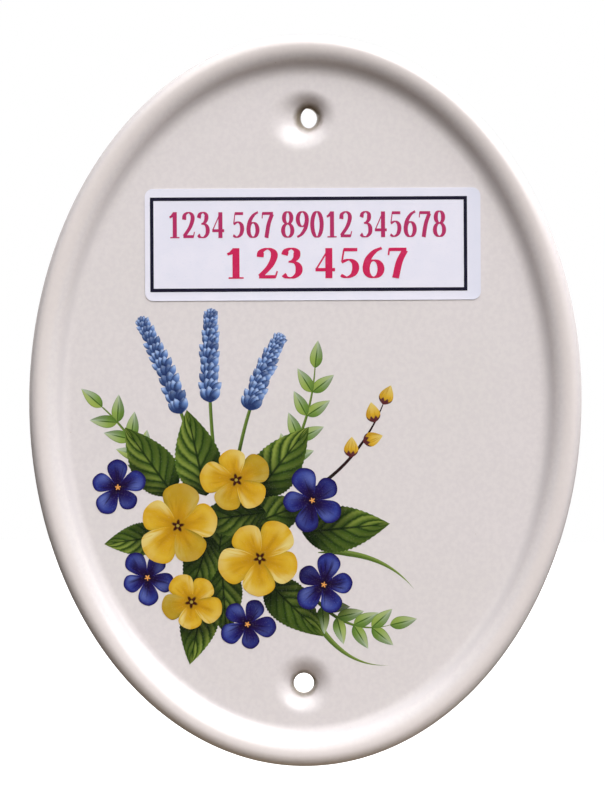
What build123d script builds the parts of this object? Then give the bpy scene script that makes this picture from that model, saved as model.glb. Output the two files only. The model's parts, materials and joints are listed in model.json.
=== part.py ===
"""Oval house number plaque: a glazed ceramic plate with a rolled rim and two screw holes,
a posy of spring flowers fired on as a transfer, and a stuck-on paper label for the number.

Millimetres. +Z is up, +X is to the right as the plaque is read, and the front faces -Y.
The origin is the middle of the flat back, where it meets the wall.
"""
from build123d import *
import math
import os

# Ceramic plate
plaque_width = 136.0
plaque_height = 180.0
field_thickness = 7.0  # from the flat back to the flat field
rim_width = 10.2  # from the outline to the edge of the flat field
rim_rise = 3.5  # crest of the rim above the field
rim_roll = 2.7  # radius of the rim's outer round
crown_share = 0.54  # part of the rim's inner slope that is rounded crown, the rest is cove
back_round = 1.2  # radius of the back's edge

# Screw holes, one at the top and one at the bottom
hole_diameter = 5.0
hole_inset = 20.0  # from the end of the oval to the hole's middle
hole_flare = 5.2  # radius of the sponged mouth at the front

# Paper label
label_height = 27.6
label_side_margin = 2.3  # mean gap beside the label's upper corners, to the rim's slope
label_corner = 2.0
label_thickness = 0.12
label_right = 1.6  # middle of the label from the plaque's middle
label_up = 38.5
label_tilt = 0.6  # degrees, as it was stuck on by hand

# Border printed on the label
border_margin_left = 1.3
border_margin_right = 3.3
border_margin_top = 2.1
border_margin_bottom = 2.2
border_line = 0.85
ink_thickness = 0.04

# Transfer: its colours are fired on side by side, none over another
colour_thickness = 0.08
least_patch = 0.4  # square millimetres, below which a patch of colour isn't printed

# Posy: drawn about the place where its stems are gathered, and printed at the size that
# fits between the label, the rim's slope and the end of the field with these gaps
posy_top_gap = 2.0
posy_left_gap = 2.6
posy_bottom_gap = 14.6

# Flowers: x and z of the middle, radius, turn, and the way that the flower nods, in degrees
yellow_flowers = [
    (-11.0, 4.5, 11.0, 12, 150),
    (9.5, -3.5, 10.8, -20, -60),
    (3.5, 16.0, 9.2, 30, 90),
    (-7.5, -14.5, 8.0, 50, 250),
]
blue_flowers = [
    (-26.0, 14.0, 7.6, 20, 140),
    (-18.5, -8.5, 7.4, -15, 215),
    (22.5, 11.0, 8.6, 40, 20),
    (25.5, -10.0, 8.2, 5, -25),
    (6.5, -20.0, 7.4, 65, -80),
]
petals_per_flower = 5
yellow_petal_share = 0.86  # petal's width, of its length
blue_petal_share = 0.72
petal_belly = 0.9  # of its length, where a petal's sides swell
nod_share = 0.16  # taken off a petal that points the way that the flower nods
yellow_eye_radius = 1.9
blue_eye_radius = 1.1

# Broad leaves: x and z of the stalk's end, direction of the tip in degrees, length
broad_leaves = [
    (-12.0, 12.0, 126, 21.0),
    (-4.0, 12.0, 103, 22.0),
    (8.0, 12.0, 52, 22.0),
    (20.0, 3.0, 6, 22.0),
    (5.0, 4.0, 22, 19.0),
    (-1.0, -4.0, 82, 17.0),
    (11.0, -9.0, -44, 20.0),
    (0.0, -5.0, -86, 18.0),
    (-4.0, -12.0, -102, 18.5),
    (-14.0, 2.0, 188, 15.5),
    (-3.0, 2.0, -108, 17.0),
    (11.0, 8.0, 188, 19.0),
]
broad_leaf_share = 0.54  # leaf's width, of its length
leaf_belly = 0.25  # of its length, where the sides of a leaf or bud swell

# Sprigs of light leaflets: x and z of the foot, of the bend and of the tip
light_sprigs = [
    (-15.0, 12.0, -21.0, 26.0, -30.0, 34.0),
    (13.0, 16.0, 22.0, 28.0, 23.0, 44.0),
    (22.0, -12.0, 31.0, -23.0, 42.0, -20.0),
]
leaflet_pairs = 4
leaflet_length = 7.0
leaflet_width = 3.2
leaflet_spread = 42.0  # degrees from the sprig's stem

# Blue spikes: x and z of the foot, of the bend and of the tip
blue_spikes = [
    (-6.0, 18.0, -11.0, 38.0, -20.0, 55.0),
    (-2.0, 22.0, -4.0, 40.0, -3.0, 57.0),
    (4.0, 22.0, 7.0, 38.0, 14.0, 51.0),
]
spike_share = 0.62  # of the stem, from the tip down, that is in flower
floret_length = 4.2
floret_width = 2.6
floret_belly = 0.6  # of its length, where a floret is widest
floret_spread = 40.0  # degrees from the spike's stem
floret_rows = 9

# Twig in bud: x and z of the foot, of the bend and of the tip
bud_twig = (20.0, 12.0, 34.0, 20.0, 40.0, 35.0)
bud_shares = [(0.5, 1), (0.66, -1), (0.84, 1), (1.0, 0)]  # of the way up the twig, and side
bud_length = 5.2
bud_width = 3.6
bud_spread = 38.0  # degrees from the twig

# Blades of grass: x and z of the foot, of the bend and of the tip
grass_blades = [
    (24.0, -2.0, 40.0, -1.0, 48.0, -11.0),
    (20.0, -12.0, 28.0, -31.0, 42.0, -30.0),
]
stem_width = 0.9
grass_width = 1.6

# Sizes that follow from those above
field_width = plaque_width - 2 * rim_width
field_height = plaque_height - 2 * rim_width
hole_up = plaque_height / 2 - hole_inset
label_top = label_up + label_height / 2
label_bottom = label_up - label_height / 2
label_chord = field_width * math.sqrt(1 - (2 * label_top / field_height) ** 2)
label_width = label_chord - 2 * label_side_margin
border_width = label_width - border_margin_left - border_margin_right
border_height = label_height - border_margin_top - border_margin_bottom
border_right = (border_margin_left - border_margin_right) / 2
border_up = (border_margin_bottom - border_margin_top) / 2
posy_height = label_bottom - posy_top_gap + field_height / 2 - posy_bottom_gap


def blade(length, width, belly):
    """A leaf or petal along +X from its foot: pointed far from its belly and round near it."""
    left = Bezier((0, 0), (belly * length, width), (length, 0))
    right = Bezier((0, 0), (belly * length, -width), (length, 0))
    return make_face([left, right])


def kite(length, width, belly):
    """A floret along +X from its foot, with straight sides."""
    right, left = (belly * length, -width / 2), (belly * length, width / 2)
    return Polygon((0, 0), right, (length, 0), left, align=None)


def spine(points):
    """The curve of a stem from its foot, past its bend, to its tip."""
    return Bezier(points[0:2], points[2:4], points[4:6])


def stem_shape(points, width):
    """A stem or blade of grass that tapers from its foot to its tip."""
    foot, bend, tip = Vector(*points[0:2]), Vector(*points[2:4]), Vector(*points[4:6])
    across = (bend - foot).normalized().rotate(Axis.Z, 90) * (width / 2)
    left = Bezier(foot + across, bend + across, tip)
    right = Bezier(foot - across, bend - across, tip)
    return make_face([left, right, Line(foot - across, foot + across)])


def stand_on(stem, share):
    """The place a share of the way along a stem, turned to follow it."""
    along = stem % share
    return Pos(stem @ share) * Rot(0, 0, math.degrees(math.atan2(along.Y, along.X)))


def flower(x, z, radius, turn, nod, petal_share):
    """Petals round one middle, shorter the way that the flower nods."""
    petals = []
    for k in range(petals_per_flower):
        heading = turn + 360 * k / petals_per_flower
        length = radius * (1 - nod_share * math.cos(math.radians(heading - nod)) ** 2)
        petal = blade(length, petal_share * length, petal_belly)
        petals.append(Pos(x, z) * Rot(0, 0, heading) * petal)
    return petals


def flower_eye(x, z, radius):
    """The middle of a flower, with a corner for each petal and each gap between two."""
    return Pos(x, z) * RegularPolygon(radius, 2 * petals_per_flower)


def sprig_leaflets(stem):
    """Paired leaflets up a sprig and one at its tip."""
    leaflet = blade(leaflet_length, leaflet_width, leaf_belly)
    leaflets = [stand_on(stem, 1) * leaflet]
    for k in range(leaflet_pairs):
        place = stand_on(stem, (k + 1) / (leaflet_pairs + 1))
        leaflets += [place * Rot(0, 0, side * leaflet_spread) * leaflet for side in (-1, 1)]
    return leaflets


def spike_florets(stem):
    """Rows of florets in threes that draw together towards the tip of a spike."""
    florets = []
    for k in range(floret_rows):
        below_tip = 1 - k / (floret_rows - 1)
        size = 0.45 + 0.55 * math.sqrt(below_tip)
        floret = kite(size * floret_length, size * floret_width, floret_belly)
        place = stand_on(stem, 1 - spike_share * below_tip**1.3)
        florets += [place * Rot(0, 0, side * floret_spread) * floret for side in (-1, 0, 1)]
    return florets


def twig_buds(stem):
    """Plump buds to either side of the twig and at its tip."""
    bud = blade(bud_length, bud_width, leaf_belly)
    return [stand_on(stem, share) * Rot(0, 0, side * bud_spread) * bud for share, side in bud_shares]


def broad_leaf(x, z, direction, length):
    """A leaf from its stalk's end towards its tip."""
    leaf = blade(length, broad_leaf_share * length, leaf_belly)
    return Pos(x, z) * Rot(0, 0, direction) * leaf


def posy():
    """The transfer's colours from the lowest to the top one, each with its shapes."""
    stems = [stem_shape(points, grass_width) for points in grass_blades]
    stems += [stem_shape(s, stem_width) for s in [*light_sprigs, *blue_spikes, bud_twig]]
    leaflets = [shape for points in light_sprigs for shape in sprig_leaflets(spine(points))]
    spikes = [shape for points in blue_spikes for shape in spike_florets(spine(points))]
    blues = [shape for f in blue_flowers for shape in flower(*f, blue_petal_share)]
    yellows = [shape for f in yellow_flowers for shape in flower(*f, yellow_petal_share)]
    eyes = [flower_eye(*f[0:2], blue_eye_radius) for f in blue_flowers]
    eyes += [flower_eye(*f[0:2], yellow_eye_radius) for f in yellow_flowers]
    return {
        "transfer_stems": stems,
        "transfer_light_leaves": leaflets,
        "transfer_blue_spikes": spikes,
        "transfer_yellow_buds": twig_buds(spine(bud_twig)),
        "transfer_broad_leaves": [broad_leaf(*placing) for placing in broad_leaves],
        "transfer_blue_flowers": blues,
        "transfer_yellow_flowers": yellows,
        "transfer_flower_eyes": eyes,
    }


def transfer():
    """One thin film for each colour, with what a higher colour covers left out."""
    colours = posy()
    drawn = Sketch([shape for shapes in colours.values() for shape in shapes]).bounding_box()
    posy_scale = posy_height / drawn.size.Y
    right = posy_left_gap - field_width / 2 - posy_scale * drawn.min.X
    up = posy_bottom_gap - field_height / 2 - posy_scale * drawn.min.Y
    ground = Plane.XZ.offset(field_thickness) * Pos(right, up)
    covered = Sketch()
    films = {}
    for name, shapes in reversed(colours.items()):
        colour = Sketch() + shapes
        shown = [face for face in (colour - covered).faces() if face.area > least_patch]
        print_size = scale(Sketch(shown), by=posy_scale)
        films[name] = extrude(ground * print_size, amount=colour_thickness)
        covered += colour
    return films


def rim_section():
    """The rim's outline from the flat field, over the crest, to the flat back."""
    outline = plaque_width / 2
    run = rim_width - rim_roll
    slope = 2 * math.atan(rim_rise / run)
    radii = run / math.sin(slope)
    turn = math.degrees(slope)
    field_edge = (outline - rim_width, -field_thickness)
    cove = JernArc(field_edge, (1, 0), (1 - crown_share) * radii, -turn)
    crown = JernArc(cove @ 1, cove % 1, crown_share * radii, turn)
    roll = JernArc(crown @ 1, crown % 1, rim_roll, 90)
    side = Line(roll @ 1, (outline, -back_round))
    edge = JernArc(side @ 1, side % 1, back_round, 90)
    return Wire([cove, crown, roll, side, edge])


def plaque():
    """The one-piece ceramic plate: its rim swept round the oval, closed by field and back."""
    outline = Edge.make_ellipse(plaque_width / 2, plaque_height / 2, Plane.XZ)
    rim = Shell.sweep(rim_section(), outline)
    rings = [edge for edge in rim.edges() if edge.is_closed]
    field = Face(Wire(min(rings, key=lambda ring: ring.length)))
    back = Face(Wire(max(rings, key=lambda ring: ring.center().Y)))
    plate = Solid(Shell([*rim.faces(), field, back]))
    hole = Plane.XZ * Circle(hole_diameter / 2)
    for height in (-hole_up, hole_up):
        plate -= Pos(0, 0, height) * extrude(hole, amount=field_thickness)
    mouths = plate.edges().filter_by(GeomType.CIRCLE).group_by(Axis.Y)[0]
    return fillet(mouths, hole_flare)


def label():
    """The paper label and the border printed on it."""
    ground = Plane.XZ.offset(field_thickness)
    ground = ground * Pos(label_right, label_up) * Rot(0, 0, label_tilt)
    paper = RectangleRounded(label_width, label_height, label_corner)
    inner = Rectangle(border_width - 2 * border_line, border_height - 2 * border_line)
    border = Rectangle(border_width, border_height) - inner
    ink = Pos(border_right, border_up, label_thickness) * border
    return {
        "paper_label": extrude(ground * paper, amount=label_thickness),
        "label_border": extrude(ground * ink, amount=ink_thickness),
    }


if __name__ == "__main__":
    os.makedirs("parts", exist_ok=True)
    for node, shape in {"plaque": plaque(), **label(), **transfer()}.items():
        export_step(shape, f"parts/{node}.step")
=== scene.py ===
"""Looks of the oval house number plaque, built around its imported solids.

Metres, +Z up, +X to the right as the plaque is read, front towards -Y. The plate keeps its solid's form on
a mesh fine enough for gloss. The fired posy and the number label get their brushwork and figures.
"""
import json
import logging
import math
import random
from dataclasses import dataclass
from enum import Enum
from typing import Any, Callable, Sequence

import bmesh
import bpy
from mathutils import Matrix, Vector


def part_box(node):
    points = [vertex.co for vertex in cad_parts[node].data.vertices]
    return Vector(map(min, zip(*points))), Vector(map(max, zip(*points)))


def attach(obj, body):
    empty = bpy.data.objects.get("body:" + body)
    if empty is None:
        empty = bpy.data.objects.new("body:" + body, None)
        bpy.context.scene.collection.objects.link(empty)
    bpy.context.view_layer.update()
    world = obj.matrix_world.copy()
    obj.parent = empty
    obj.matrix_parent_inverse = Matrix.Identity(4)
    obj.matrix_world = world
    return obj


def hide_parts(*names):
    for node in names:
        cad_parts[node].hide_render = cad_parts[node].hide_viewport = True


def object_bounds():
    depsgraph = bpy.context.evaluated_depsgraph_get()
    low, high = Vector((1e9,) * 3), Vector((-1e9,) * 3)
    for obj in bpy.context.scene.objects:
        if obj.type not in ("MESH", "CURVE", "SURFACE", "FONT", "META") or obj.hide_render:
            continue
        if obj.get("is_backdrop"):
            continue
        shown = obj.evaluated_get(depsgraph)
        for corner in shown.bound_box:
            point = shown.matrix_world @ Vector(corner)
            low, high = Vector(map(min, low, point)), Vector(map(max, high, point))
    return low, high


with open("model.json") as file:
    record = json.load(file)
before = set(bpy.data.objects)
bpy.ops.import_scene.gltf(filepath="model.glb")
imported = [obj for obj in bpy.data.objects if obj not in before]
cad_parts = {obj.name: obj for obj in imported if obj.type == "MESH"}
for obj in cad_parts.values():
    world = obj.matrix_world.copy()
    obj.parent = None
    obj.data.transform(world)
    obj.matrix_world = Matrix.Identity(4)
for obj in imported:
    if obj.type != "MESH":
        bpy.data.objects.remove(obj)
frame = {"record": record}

LOG = logging.getLogger("plaque")
MM = 0.001
BODY = "root"
TONE = "tone"
SHADE = "shade"
RIPPLE_SCALE = 38.0
RIPPLE_HEIGHT = 0.03 * MM
SAME_PLACE = 1e-9

Colour = tuple[float, float, float, float]
Place = tuple[float, float]
Rows = list[list[Vector]]


def srgb(red: int, green: int, blue: int) -> Colour:
    """Turns a screen colour into the linear one that shaders take.

    Args:
        red: Level from 0 to 255.
        green: Level from 0 to 255.
        blue: Level from 0 to 255.

    Returns:
        The linear colour, opaque.
    """
    levels = [level / 255 for level in (red, green, blue)]
    linear = [s / 12.92 if s <= 0.04045 else ((s + 0.055) / 1.055) ** 2.4 for s in levels]
    return (linear[0], linear[1], linear[2], 1.0)


class Term:
    """A node's socket in a Python expression. Each operator adds a Math node to the tree."""

    def __init__(self, graph: "Graph", socket: bpy.types.NodeSocket) -> None:
        """Wraps an output socket of a node in the graph."""
        self.graph = graph
        self.socket = socket

    def __add__(self, other: "Term | float") -> "Term":
        """self + other."""
        return self.graph.math("ADD", self, other)

    def __radd__(self, other: float) -> "Term":
        """other + self."""
        return self.graph.math("ADD", other, self)

    def __sub__(self, other: "Term | float") -> "Term":
        """self - other."""
        return self.graph.math("SUBTRACT", self, other)

    def __rsub__(self, other: float) -> "Term":
        """other - self."""
        return self.graph.math("SUBTRACT", other, self)

    def __mul__(self, other: "Term | float") -> "Term":
        """self * other."""
        return self.graph.math("MULTIPLY", self, other)

    def __rmul__(self, other: float) -> "Term":
        """other * self."""
        return self.graph.math("MULTIPLY", other, self)

    def __truediv__(self, other: "Term | float") -> "Term":
        """self / other."""
        return self.graph.math("DIVIDE", self, other)

    def __pow__(self, other: "Term | float") -> "Term":
        """self ** other."""
        return self.graph.math("POWER", self, other)

    def __abs__(self) -> "Term":
        """abs(self)."""
        return self.graph.math("ABSOLUTE", self)

    def floor(self) -> "Term":
        """The whole part."""
        return self.graph.math("FLOOR", self)

    def fraction(self) -> "Term":
        """What the whole part leaves."""
        return self.graph.math("FRACT", self)

    def cosine(self) -> "Term":
        """The cosine of an angle in radians."""
        return self.graph.math("COSINE", self)

    def sine(self) -> "Term":
        """The sine of an angle in radians."""
        return self.graph.math("SINE", self)

    def capped(self) -> "Term":
        """The value, but no more than 1."""
        return self.graph.math("MINIMUM", self, 1.0)

    def smooth(self, low: float, high: float) -> "Term":
        """Rises smoothly from 0 at low to 1 at high."""
        settings = {"interpolation_type": "SMOOTHSTEP"}
        sockets = {"Value": self, "From Min": low, "From Max": high}
        return self.graph.term("ShaderNodeMapRange", settings, sockets)

    def fade(self, low: float, high: float) -> "Term":
        """Falls smoothly from 1 at low to 0 at high."""
        return 1.0 - self.smooth(low, high)

    def peak(self, low: float, middle: float, high: float) -> "Term":
        """Rises from 0 at low to 1 at middle and falls to 0 at high."""
        return self.smooth(low, middle) * self.fade(middle, high)

    def off_middle(self) -> "Term":
        """How far a share from 0 to 1 is off its middle: 0 there and 1 at either end."""
        return abs(self - 0.5) * 2.0


class Graph:
    """Builds one node tree, for a material, the world or Geometry Nodes."""

    def __init__(self, tree: bpy.types.NodeTree) -> None:
        """Takes over a tree and empties it."""
        tree.nodes.clear()
        self.tree = tree

    def node(self, kind: str, settings: dict[str, Any], sockets: dict[int | str, Any]) -> bpy.types.Node:
        """Adds a node.

        Args:
            kind: The node's type.
            settings: Its properties, set first. "stops" holds a colour ramp's places and colours.
            sockets: Values, terms or lists of terms for its inputs, by name or number.

        Returns:
            The new node.
        """
        node = self.tree.nodes.new(kind)
        for name, value in settings.items():
            if name == "stops":
                self._set_stops(node.color_ramp, value)
            else:
                setattr(node, name, value)
        for key, value in sockets.items():
            for part in value if isinstance(value, list) else [value]:
                if isinstance(part, Term):
                    self.tree.links.new(part.socket, node.inputs[key])
                else:
                    node.inputs[key].default_value = part
        return node

    @staticmethod
    def _set_stops(ramp: bpy.types.ColorRamp, stops: Sequence[tuple[float, Colour]]) -> None:
        """Gives a colour ramp its stops.

        Args:
            ramp: A new ramp, with the two stops that Blender gives it.
            stops: Place and colour of each stop, from the lowest.
        """
        ramp.elements.remove(ramp.elements[1])
        ramp.elements[0].position, ramp.elements[0].color = stops[0]
        for position, colour in stops[1:]:
            ramp.elements.new(position).color = colour

    def term(
        self, kind: str, settings: dict[str, Any], sockets: dict[int | str, Any], output: int | str = 0
    ) -> Term:
        """Adds a node and wraps one of its outputs.

        Args:
            kind: The node's type.
            settings: Its properties.
            sockets: What its inputs get.
            output: Name or number of the output.

        Returns:
            The output as a term.
        """
        return Term(self, self.node(kind, settings, sockets).outputs[output])

    def math(self, operation: str, *values: Term | float) -> Term:
        """Adds a Math node on one or two values."""
        return self.term("ShaderNodeMath", {"operation": operation}, dict(enumerate(values)))

    def vector(self, operation: str, *values: Term) -> Term:
        """Adds a Vector Math node."""
        return self.term("ShaderNodeVectorMath", {"operation": operation}, dict(enumerate(values)))

    def mix(self, amount: Term | float, first: Term | Colour, second: Term | Colour) -> Term:
        """Mixes two colours by an amount from 0, all first, to 1, all second."""
        # Inputs 6 and 7 and output 2 are the node's colour sockets.
        return self.term("ShaderNodeMix", {"data_type": "RGBA"}, {0: amount, 6: first, 7: second}, 2)

    def ramp(self, value: Term, stops: Sequence[tuple[float, Colour]]) -> Term:
        """Colours a value from 0 to 1 by a ramp of places and colours."""
        return self.term("ShaderNodeValToRGB", {"stops": stops}, {0: value})

    def join(self, x: Term | float, y: Term | float, z: Term | float) -> Term:
        """Makes a vector of three values."""
        return self.term("ShaderNodeCombineXYZ", {}, {0: x, 1: y, 2: z})

    def split(self, vector: Term) -> tuple[Term, Term, Term]:
        """Takes a vector apart."""
        x, y, z = self.node("ShaderNodeSeparateXYZ", {}, {0: vector}).outputs
        return Term(self, x), Term(self, y), Term(self, z)

    def noise(self, place: Term, scale: float, detail: float) -> Term:
        """Soft noise, about 0.5 on average."""
        return self.term("ShaderNodeTexNoise", {}, {"Vector": place, "Scale": scale, "Detail": detail})

    def place(self) -> Term:
        """The point of the piece, in its own metres."""
        return self.term("ShaderNodeTexCoord", {}, {}, "Object")

    def uv(self) -> tuple[Term, Term]:
        """The piece's own UV map: along a printed shape and across it."""
        u, v, _ = self.split(self.term("ShaderNodeTexCoord", {}, {}, "UV"))
        return u, v

    def mark(self, name: str) -> Term:
        """The piece's own attribute of that name, from 0 to 1."""
        return self.term("ShaderNodeAttribute", {"attribute_name": name}, {}, "Fac")

    def bump(self, height: Term) -> Term:
        """Turns a height in metres into a normal."""
        return self.term("ShaderNodeBump", {}, {"Strength": 1.0, "Distance": 1.0, "Height": height})


@dataclass(frozen=True)
class Finish:
    """A surface that a piece is dressed in."""

    name: str

    def paint(self, graph: Graph) -> Term:
        """Adds the finish's nodes and returns its shader."""
        raise NotImplementedError

    def material(self) -> bpy.types.Material:
        """Makes the finish's material.

        Returns:
            A new material with the painted shader on its output.
        """
        material = bpy.data.materials.new(self.name)
        material.use_nodes = True
        graph = Graph(material.node_tree)
        graph.node("ShaderNodeOutputMaterial", {}, {"Surface": self.paint(graph)})
        return material


@dataclass(frozen=True)
class GlazeFinish(Finish):
    """White gloss glaze that pools in the cove, partly drawn as painted shade there, and thins on the crest,
    with painted shade round the hole throats and a bare biscuit back.
    """

    field_y: float
    crest_y: float
    holes: tuple[Place, ...]
    hole_radius: float
    white: Colour = srgb(224, 217, 218)
    drift: Colour = srgb(222, 216, 215)
    mottle: Colour = srgb(213, 206, 208)
    # Pooled glaze in the cove and up its slope, partly real pooling and partly painted shade.
    pooled_glaze_and_shade: Colour = srgb(208, 202, 204)
    thin: Colour = srgb(225, 215, 211)
    # Colour of the painted shade in and round the throats of the holes.
    throat_shade: Colour = srgb(130, 117, 98)
    speck: Colour = srgb(168, 146, 128)
    biscuit: Colour = srgb(221, 209, 192)
    biscuit_pore: Colour = srgb(190, 175, 155)
    glaze_line: float = -1.7 * MM
    line_ragged: float = 1.4 * MM
    line_soft: float = 0.5 * MM
    gloss: float = 0.2
    gloss_drift: float = 0.04
    bare_roughness: float = 0.88
    mottle_scale: float = 900.0
    peel_scale: float = 260.0
    peel_height: float = 0.0018 * MM
    grit_scale: float = 2400.0
    grit_height: float = 0.05 * MM
    fleck_scale: float = 260.0
    throat_shade_scale: float = 700.0
    throat_shade_ragged: float = 0.8 * MM
    throat_shade_reaches: tuple[float, ...] = (1.7 * MM, 1.3 * MM)
    throat_shade_leans: tuple[Place, ...] = ((0.3 * MM, -0.15 * MM), (0.0, 0.0))

    def paint(self, graph: Graph) -> Term:
        """Glaze in front and round the edge, biscuit where the back was wiped before firing.

        Args:
            graph: The material's tree.

        Returns:
            The shader.
        """
        place = graph.place()
        y = graph.split(place)[1]
        slow = graph.noise(place, RIPPLE_SCALE, 2.0)
        fine = graph.noise(place, self.mottle_scale, 3.0)
        height = (y - self.field_y) / (self.crest_y - self.field_y)
        colour = graph.mix(slow.smooth(0.15, 0.85), self.white, self.drift)
        colour = graph.mix(fine.smooth(0.3, 0.7) * 0.5, colour, self.mottle)
        # Darker in the cove and up its slope: partly pooled glaze, partly painted shade.
        colour = graph.mix(height.peak(0.02, 0.2, 0.6) * 0.6, colour, self.pooled_glaze_and_shade)
        colour = graph.mix(height.smooth(0.8, 1.0) * 0.5, colour, self.thin)
        colour = graph.mix(self._specks(graph, place) * 0.55, colour, self.speck)
        # Painted shade in and round the throats of the holes.
        colour = graph.mix(self._throat_shade(graph, place) * 0.9, colour, self.throat_shade)
        ragged = y + (fine - 0.5) * self.line_ragged
        bare = ragged.smooth(self.glaze_line, self.glaze_line + self.line_soft)
        biscuit = graph.mix(fine.smooth(0.52, 0.72), self.biscuit, self.biscuit_pore)
        ripple = slow * RIPPLE_HEIGHT + graph.noise(place, self.peel_scale, 1.0) * self.peel_height
        grit = graph.noise(place, self.grit_scale, 2.0) * self.grit_height
        drift = (slow - 0.5) * self.gloss_drift
        sockets = {
            "Base Color": graph.mix(bare, colour, biscuit),
            "Roughness": self.gloss + drift + bare * (self.bare_roughness - self.gloss),
            "Normal": graph.bump(ripple + grit * bare),
        }
        return graph.term("ShaderNodeBsdfPrincipled", {}, sockets)

    def _throat_shade(self, graph: Graph, place: Term) -> Term:
        """Painted shade in the throats of the holes and on the glaze just round them.

        Args:
            graph: The material's tree.
            place: The point of the piece.

        Returns:
            How much painted shade there is.
        """
        x, _, z = graph.split(place)
        edge = (graph.noise(place, self.throat_shade_scale, 2.0) - 0.5) * self.throat_shade_ragged
        throat_shades = []
        for (across, up), (right, rise), reach in zip(self.holes, self.throat_shade_leans, self.throat_shade_reaches):
            away = ((x - (across + right)) ** 2.0 + (z - (up + rise)) ** 2.0) ** 0.5 + edge
            throat_shades.append(away.fade(self.hole_radius, self.hole_radius + reach))
        return sum(throat_shades[1:], throat_shades[0]).capped()

    def _specks(self, graph: Graph, place: Term) -> Term:
        """Small sparse flecks that the glaze took in the kiln.

        Args:
            graph: The material's tree.
            place: The point of the piece.

        Returns:
            How much of a fleck there is.
        """
        cells = graph.node("ShaderNodeTexVoronoi", {}, {"Vector": place, "Scale": self.fleck_scale})
        lot = graph.split(Term(graph, cells.outputs["Color"]))[0]
        distance = Term(graph, cells.outputs["Distance"])
        return distance.fade(0.015, 0.045) * lot.smooth(0.90, 0.97)


@dataclass(frozen=True)
class PaperFinish(Finish):
    """Coated label paper with a faint fibre, a lilac tint along its top and bottom edges, and painted shade
    in lilac towards its right end.
    """

    white: Colour = srgb(230, 228, 241)
    cloud: Colour = srgb(226, 225, 239)
    # Lilac for the painted shade at the right end, the tint along the top and bottom edges, and the fibre.
    rim: Colour = srgb(214, 217, 234)
    roughness: float = 0.5
    fibre_scale: float = 1500.0
    fibre_stretch: float = 2.2
    fibre_height: float = 0.006 * MM
    cloud_scale: float = 160.0

    def paint(self, graph: Graph) -> Term:
        """Clouded paper.

        Args:
            graph: The material's tree.

        Returns:
            The shader.
        """
        place = graph.place()
        u, v = graph.uv()
        drawn = graph.vector("MULTIPLY", place, graph.join(1.0, 1.0, self.fibre_stretch))
        fibre = graph.noise(drawn, self.fibre_scale, 4.0)
        cloud = graph.noise(place, self.cloud_scale, 3.0)
        # Painted shade towards the right end, and a lilac tint along the top and bottom edges.
        edge = u.smooth(0.82, 0.86) * 0.6 + v.off_middle().smooth(0.9, 1.0) * 0.4
        colour = graph.mix(cloud.smooth(0.35, 0.65), self.white, self.cloud)
        colour = graph.mix(edge.capped() * 0.8, colour, self.rim)
        colour = graph.mix(fibre.smooth(0.55, 0.8) * 0.5, colour, self.rim)
        sockets = {
            "Base Color": colour,
            "Roughness": self.roughness + (fibre - 0.5) * 0.2,
            "Normal": graph.bump(fibre * self.fibre_height),
        }
        return graph.term("ShaderNodeBsdfPrincipled", {}, sockets)


@dataclass(frozen=True)
class InkFinish(Finish):
    """Printer's ink, a little uneven where the paper took less of it, and dulled by its tone."""

    ink: Colour
    worn: Colour
    dull: Colour = srgb(168, 46, 98)
    roughness: float = 0.42
    reflection: float = 0.2
    grain_scale: float = 2600.0
    grain_height: float = 0.004 * MM
    flow_scale: float = 420.0

    def paint(self, graph: Graph) -> Term:
        """Ink with paper grain.

        Args:
            graph: The material's tree.

        Returns:
            The shader.
        """
        place = graph.place()
        grain = graph.noise(place, self.grain_scale, 3.0)
        flow = graph.noise(place, self.flow_scale, 2.0)
        worn = grain.smooth(0.56, 0.78) * 0.6 + flow.smooth(0.5, 0.75) * 0.3
        colour = graph.mix(worn.capped(), self.ink, self.worn)
        sockets = {
            "Base Color": graph.mix(graph.mark(TONE), colour, self.dull),
            "Roughness": self.roughness + (grain - 0.5) * 0.25,
            "Specular IOR Level": self.reflection,
            "Normal": graph.bump(grain * self.grain_height),
        }
        return graph.term("ShaderNodeBsdfPrincipled", {}, sockets)


@dataclass(frozen=True)
class PrintFinish(Finish):
    """A colour of the fired posy, as glossy as the glaze that it melted into."""

    shade: Colour = srgb(14, 24, 10)
    shade_strength: float = 0.8
    bare: Colour = srgb(222, 214, 213)
    stipple_scale: float = 3600.0
    stipple_share: float = 0.06
    gloss: float = 0.2
    gloss_drift: float = 0.08
    reflection: float = 0.35

    def brushwork(self, graph: Graph, u: Term, v: Term, tone: Term) -> Term:
        """Adds the colours of one printed shape and returns their mix."""
        raise NotImplementedError

    def paint(self, graph: Graph) -> Term:
        """Brushwork under a fine stipple of the print.

        Args:
            graph: The material's tree.

        Returns:
            The shader.
        """
        place = graph.place()
        u, v = graph.uv()
        colour = self.brushwork(graph, u, v, graph.mark(TONE))
        colour = graph.mix(graph.mark(SHADE) * self.shade_strength, colour, self.shade)
        stipple = graph.noise(place, self.stipple_scale, 1.0)
        sockets = {
            "Base Color": graph.mix(stipple.smooth(0.55, 0.85) * self.stipple_share, colour, self.bare),
            "Roughness": self.gloss + (stipple - 0.5) * self.gloss_drift,
            "Normal": graph.bump(graph.noise(place, RIPPLE_SCALE, 2.0) * RIPPLE_HEIGHT),
            "Specular IOR Level": self.reflection,
        }
        return graph.term("ShaderNodeBsdfPrincipled", {}, sockets)


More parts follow.
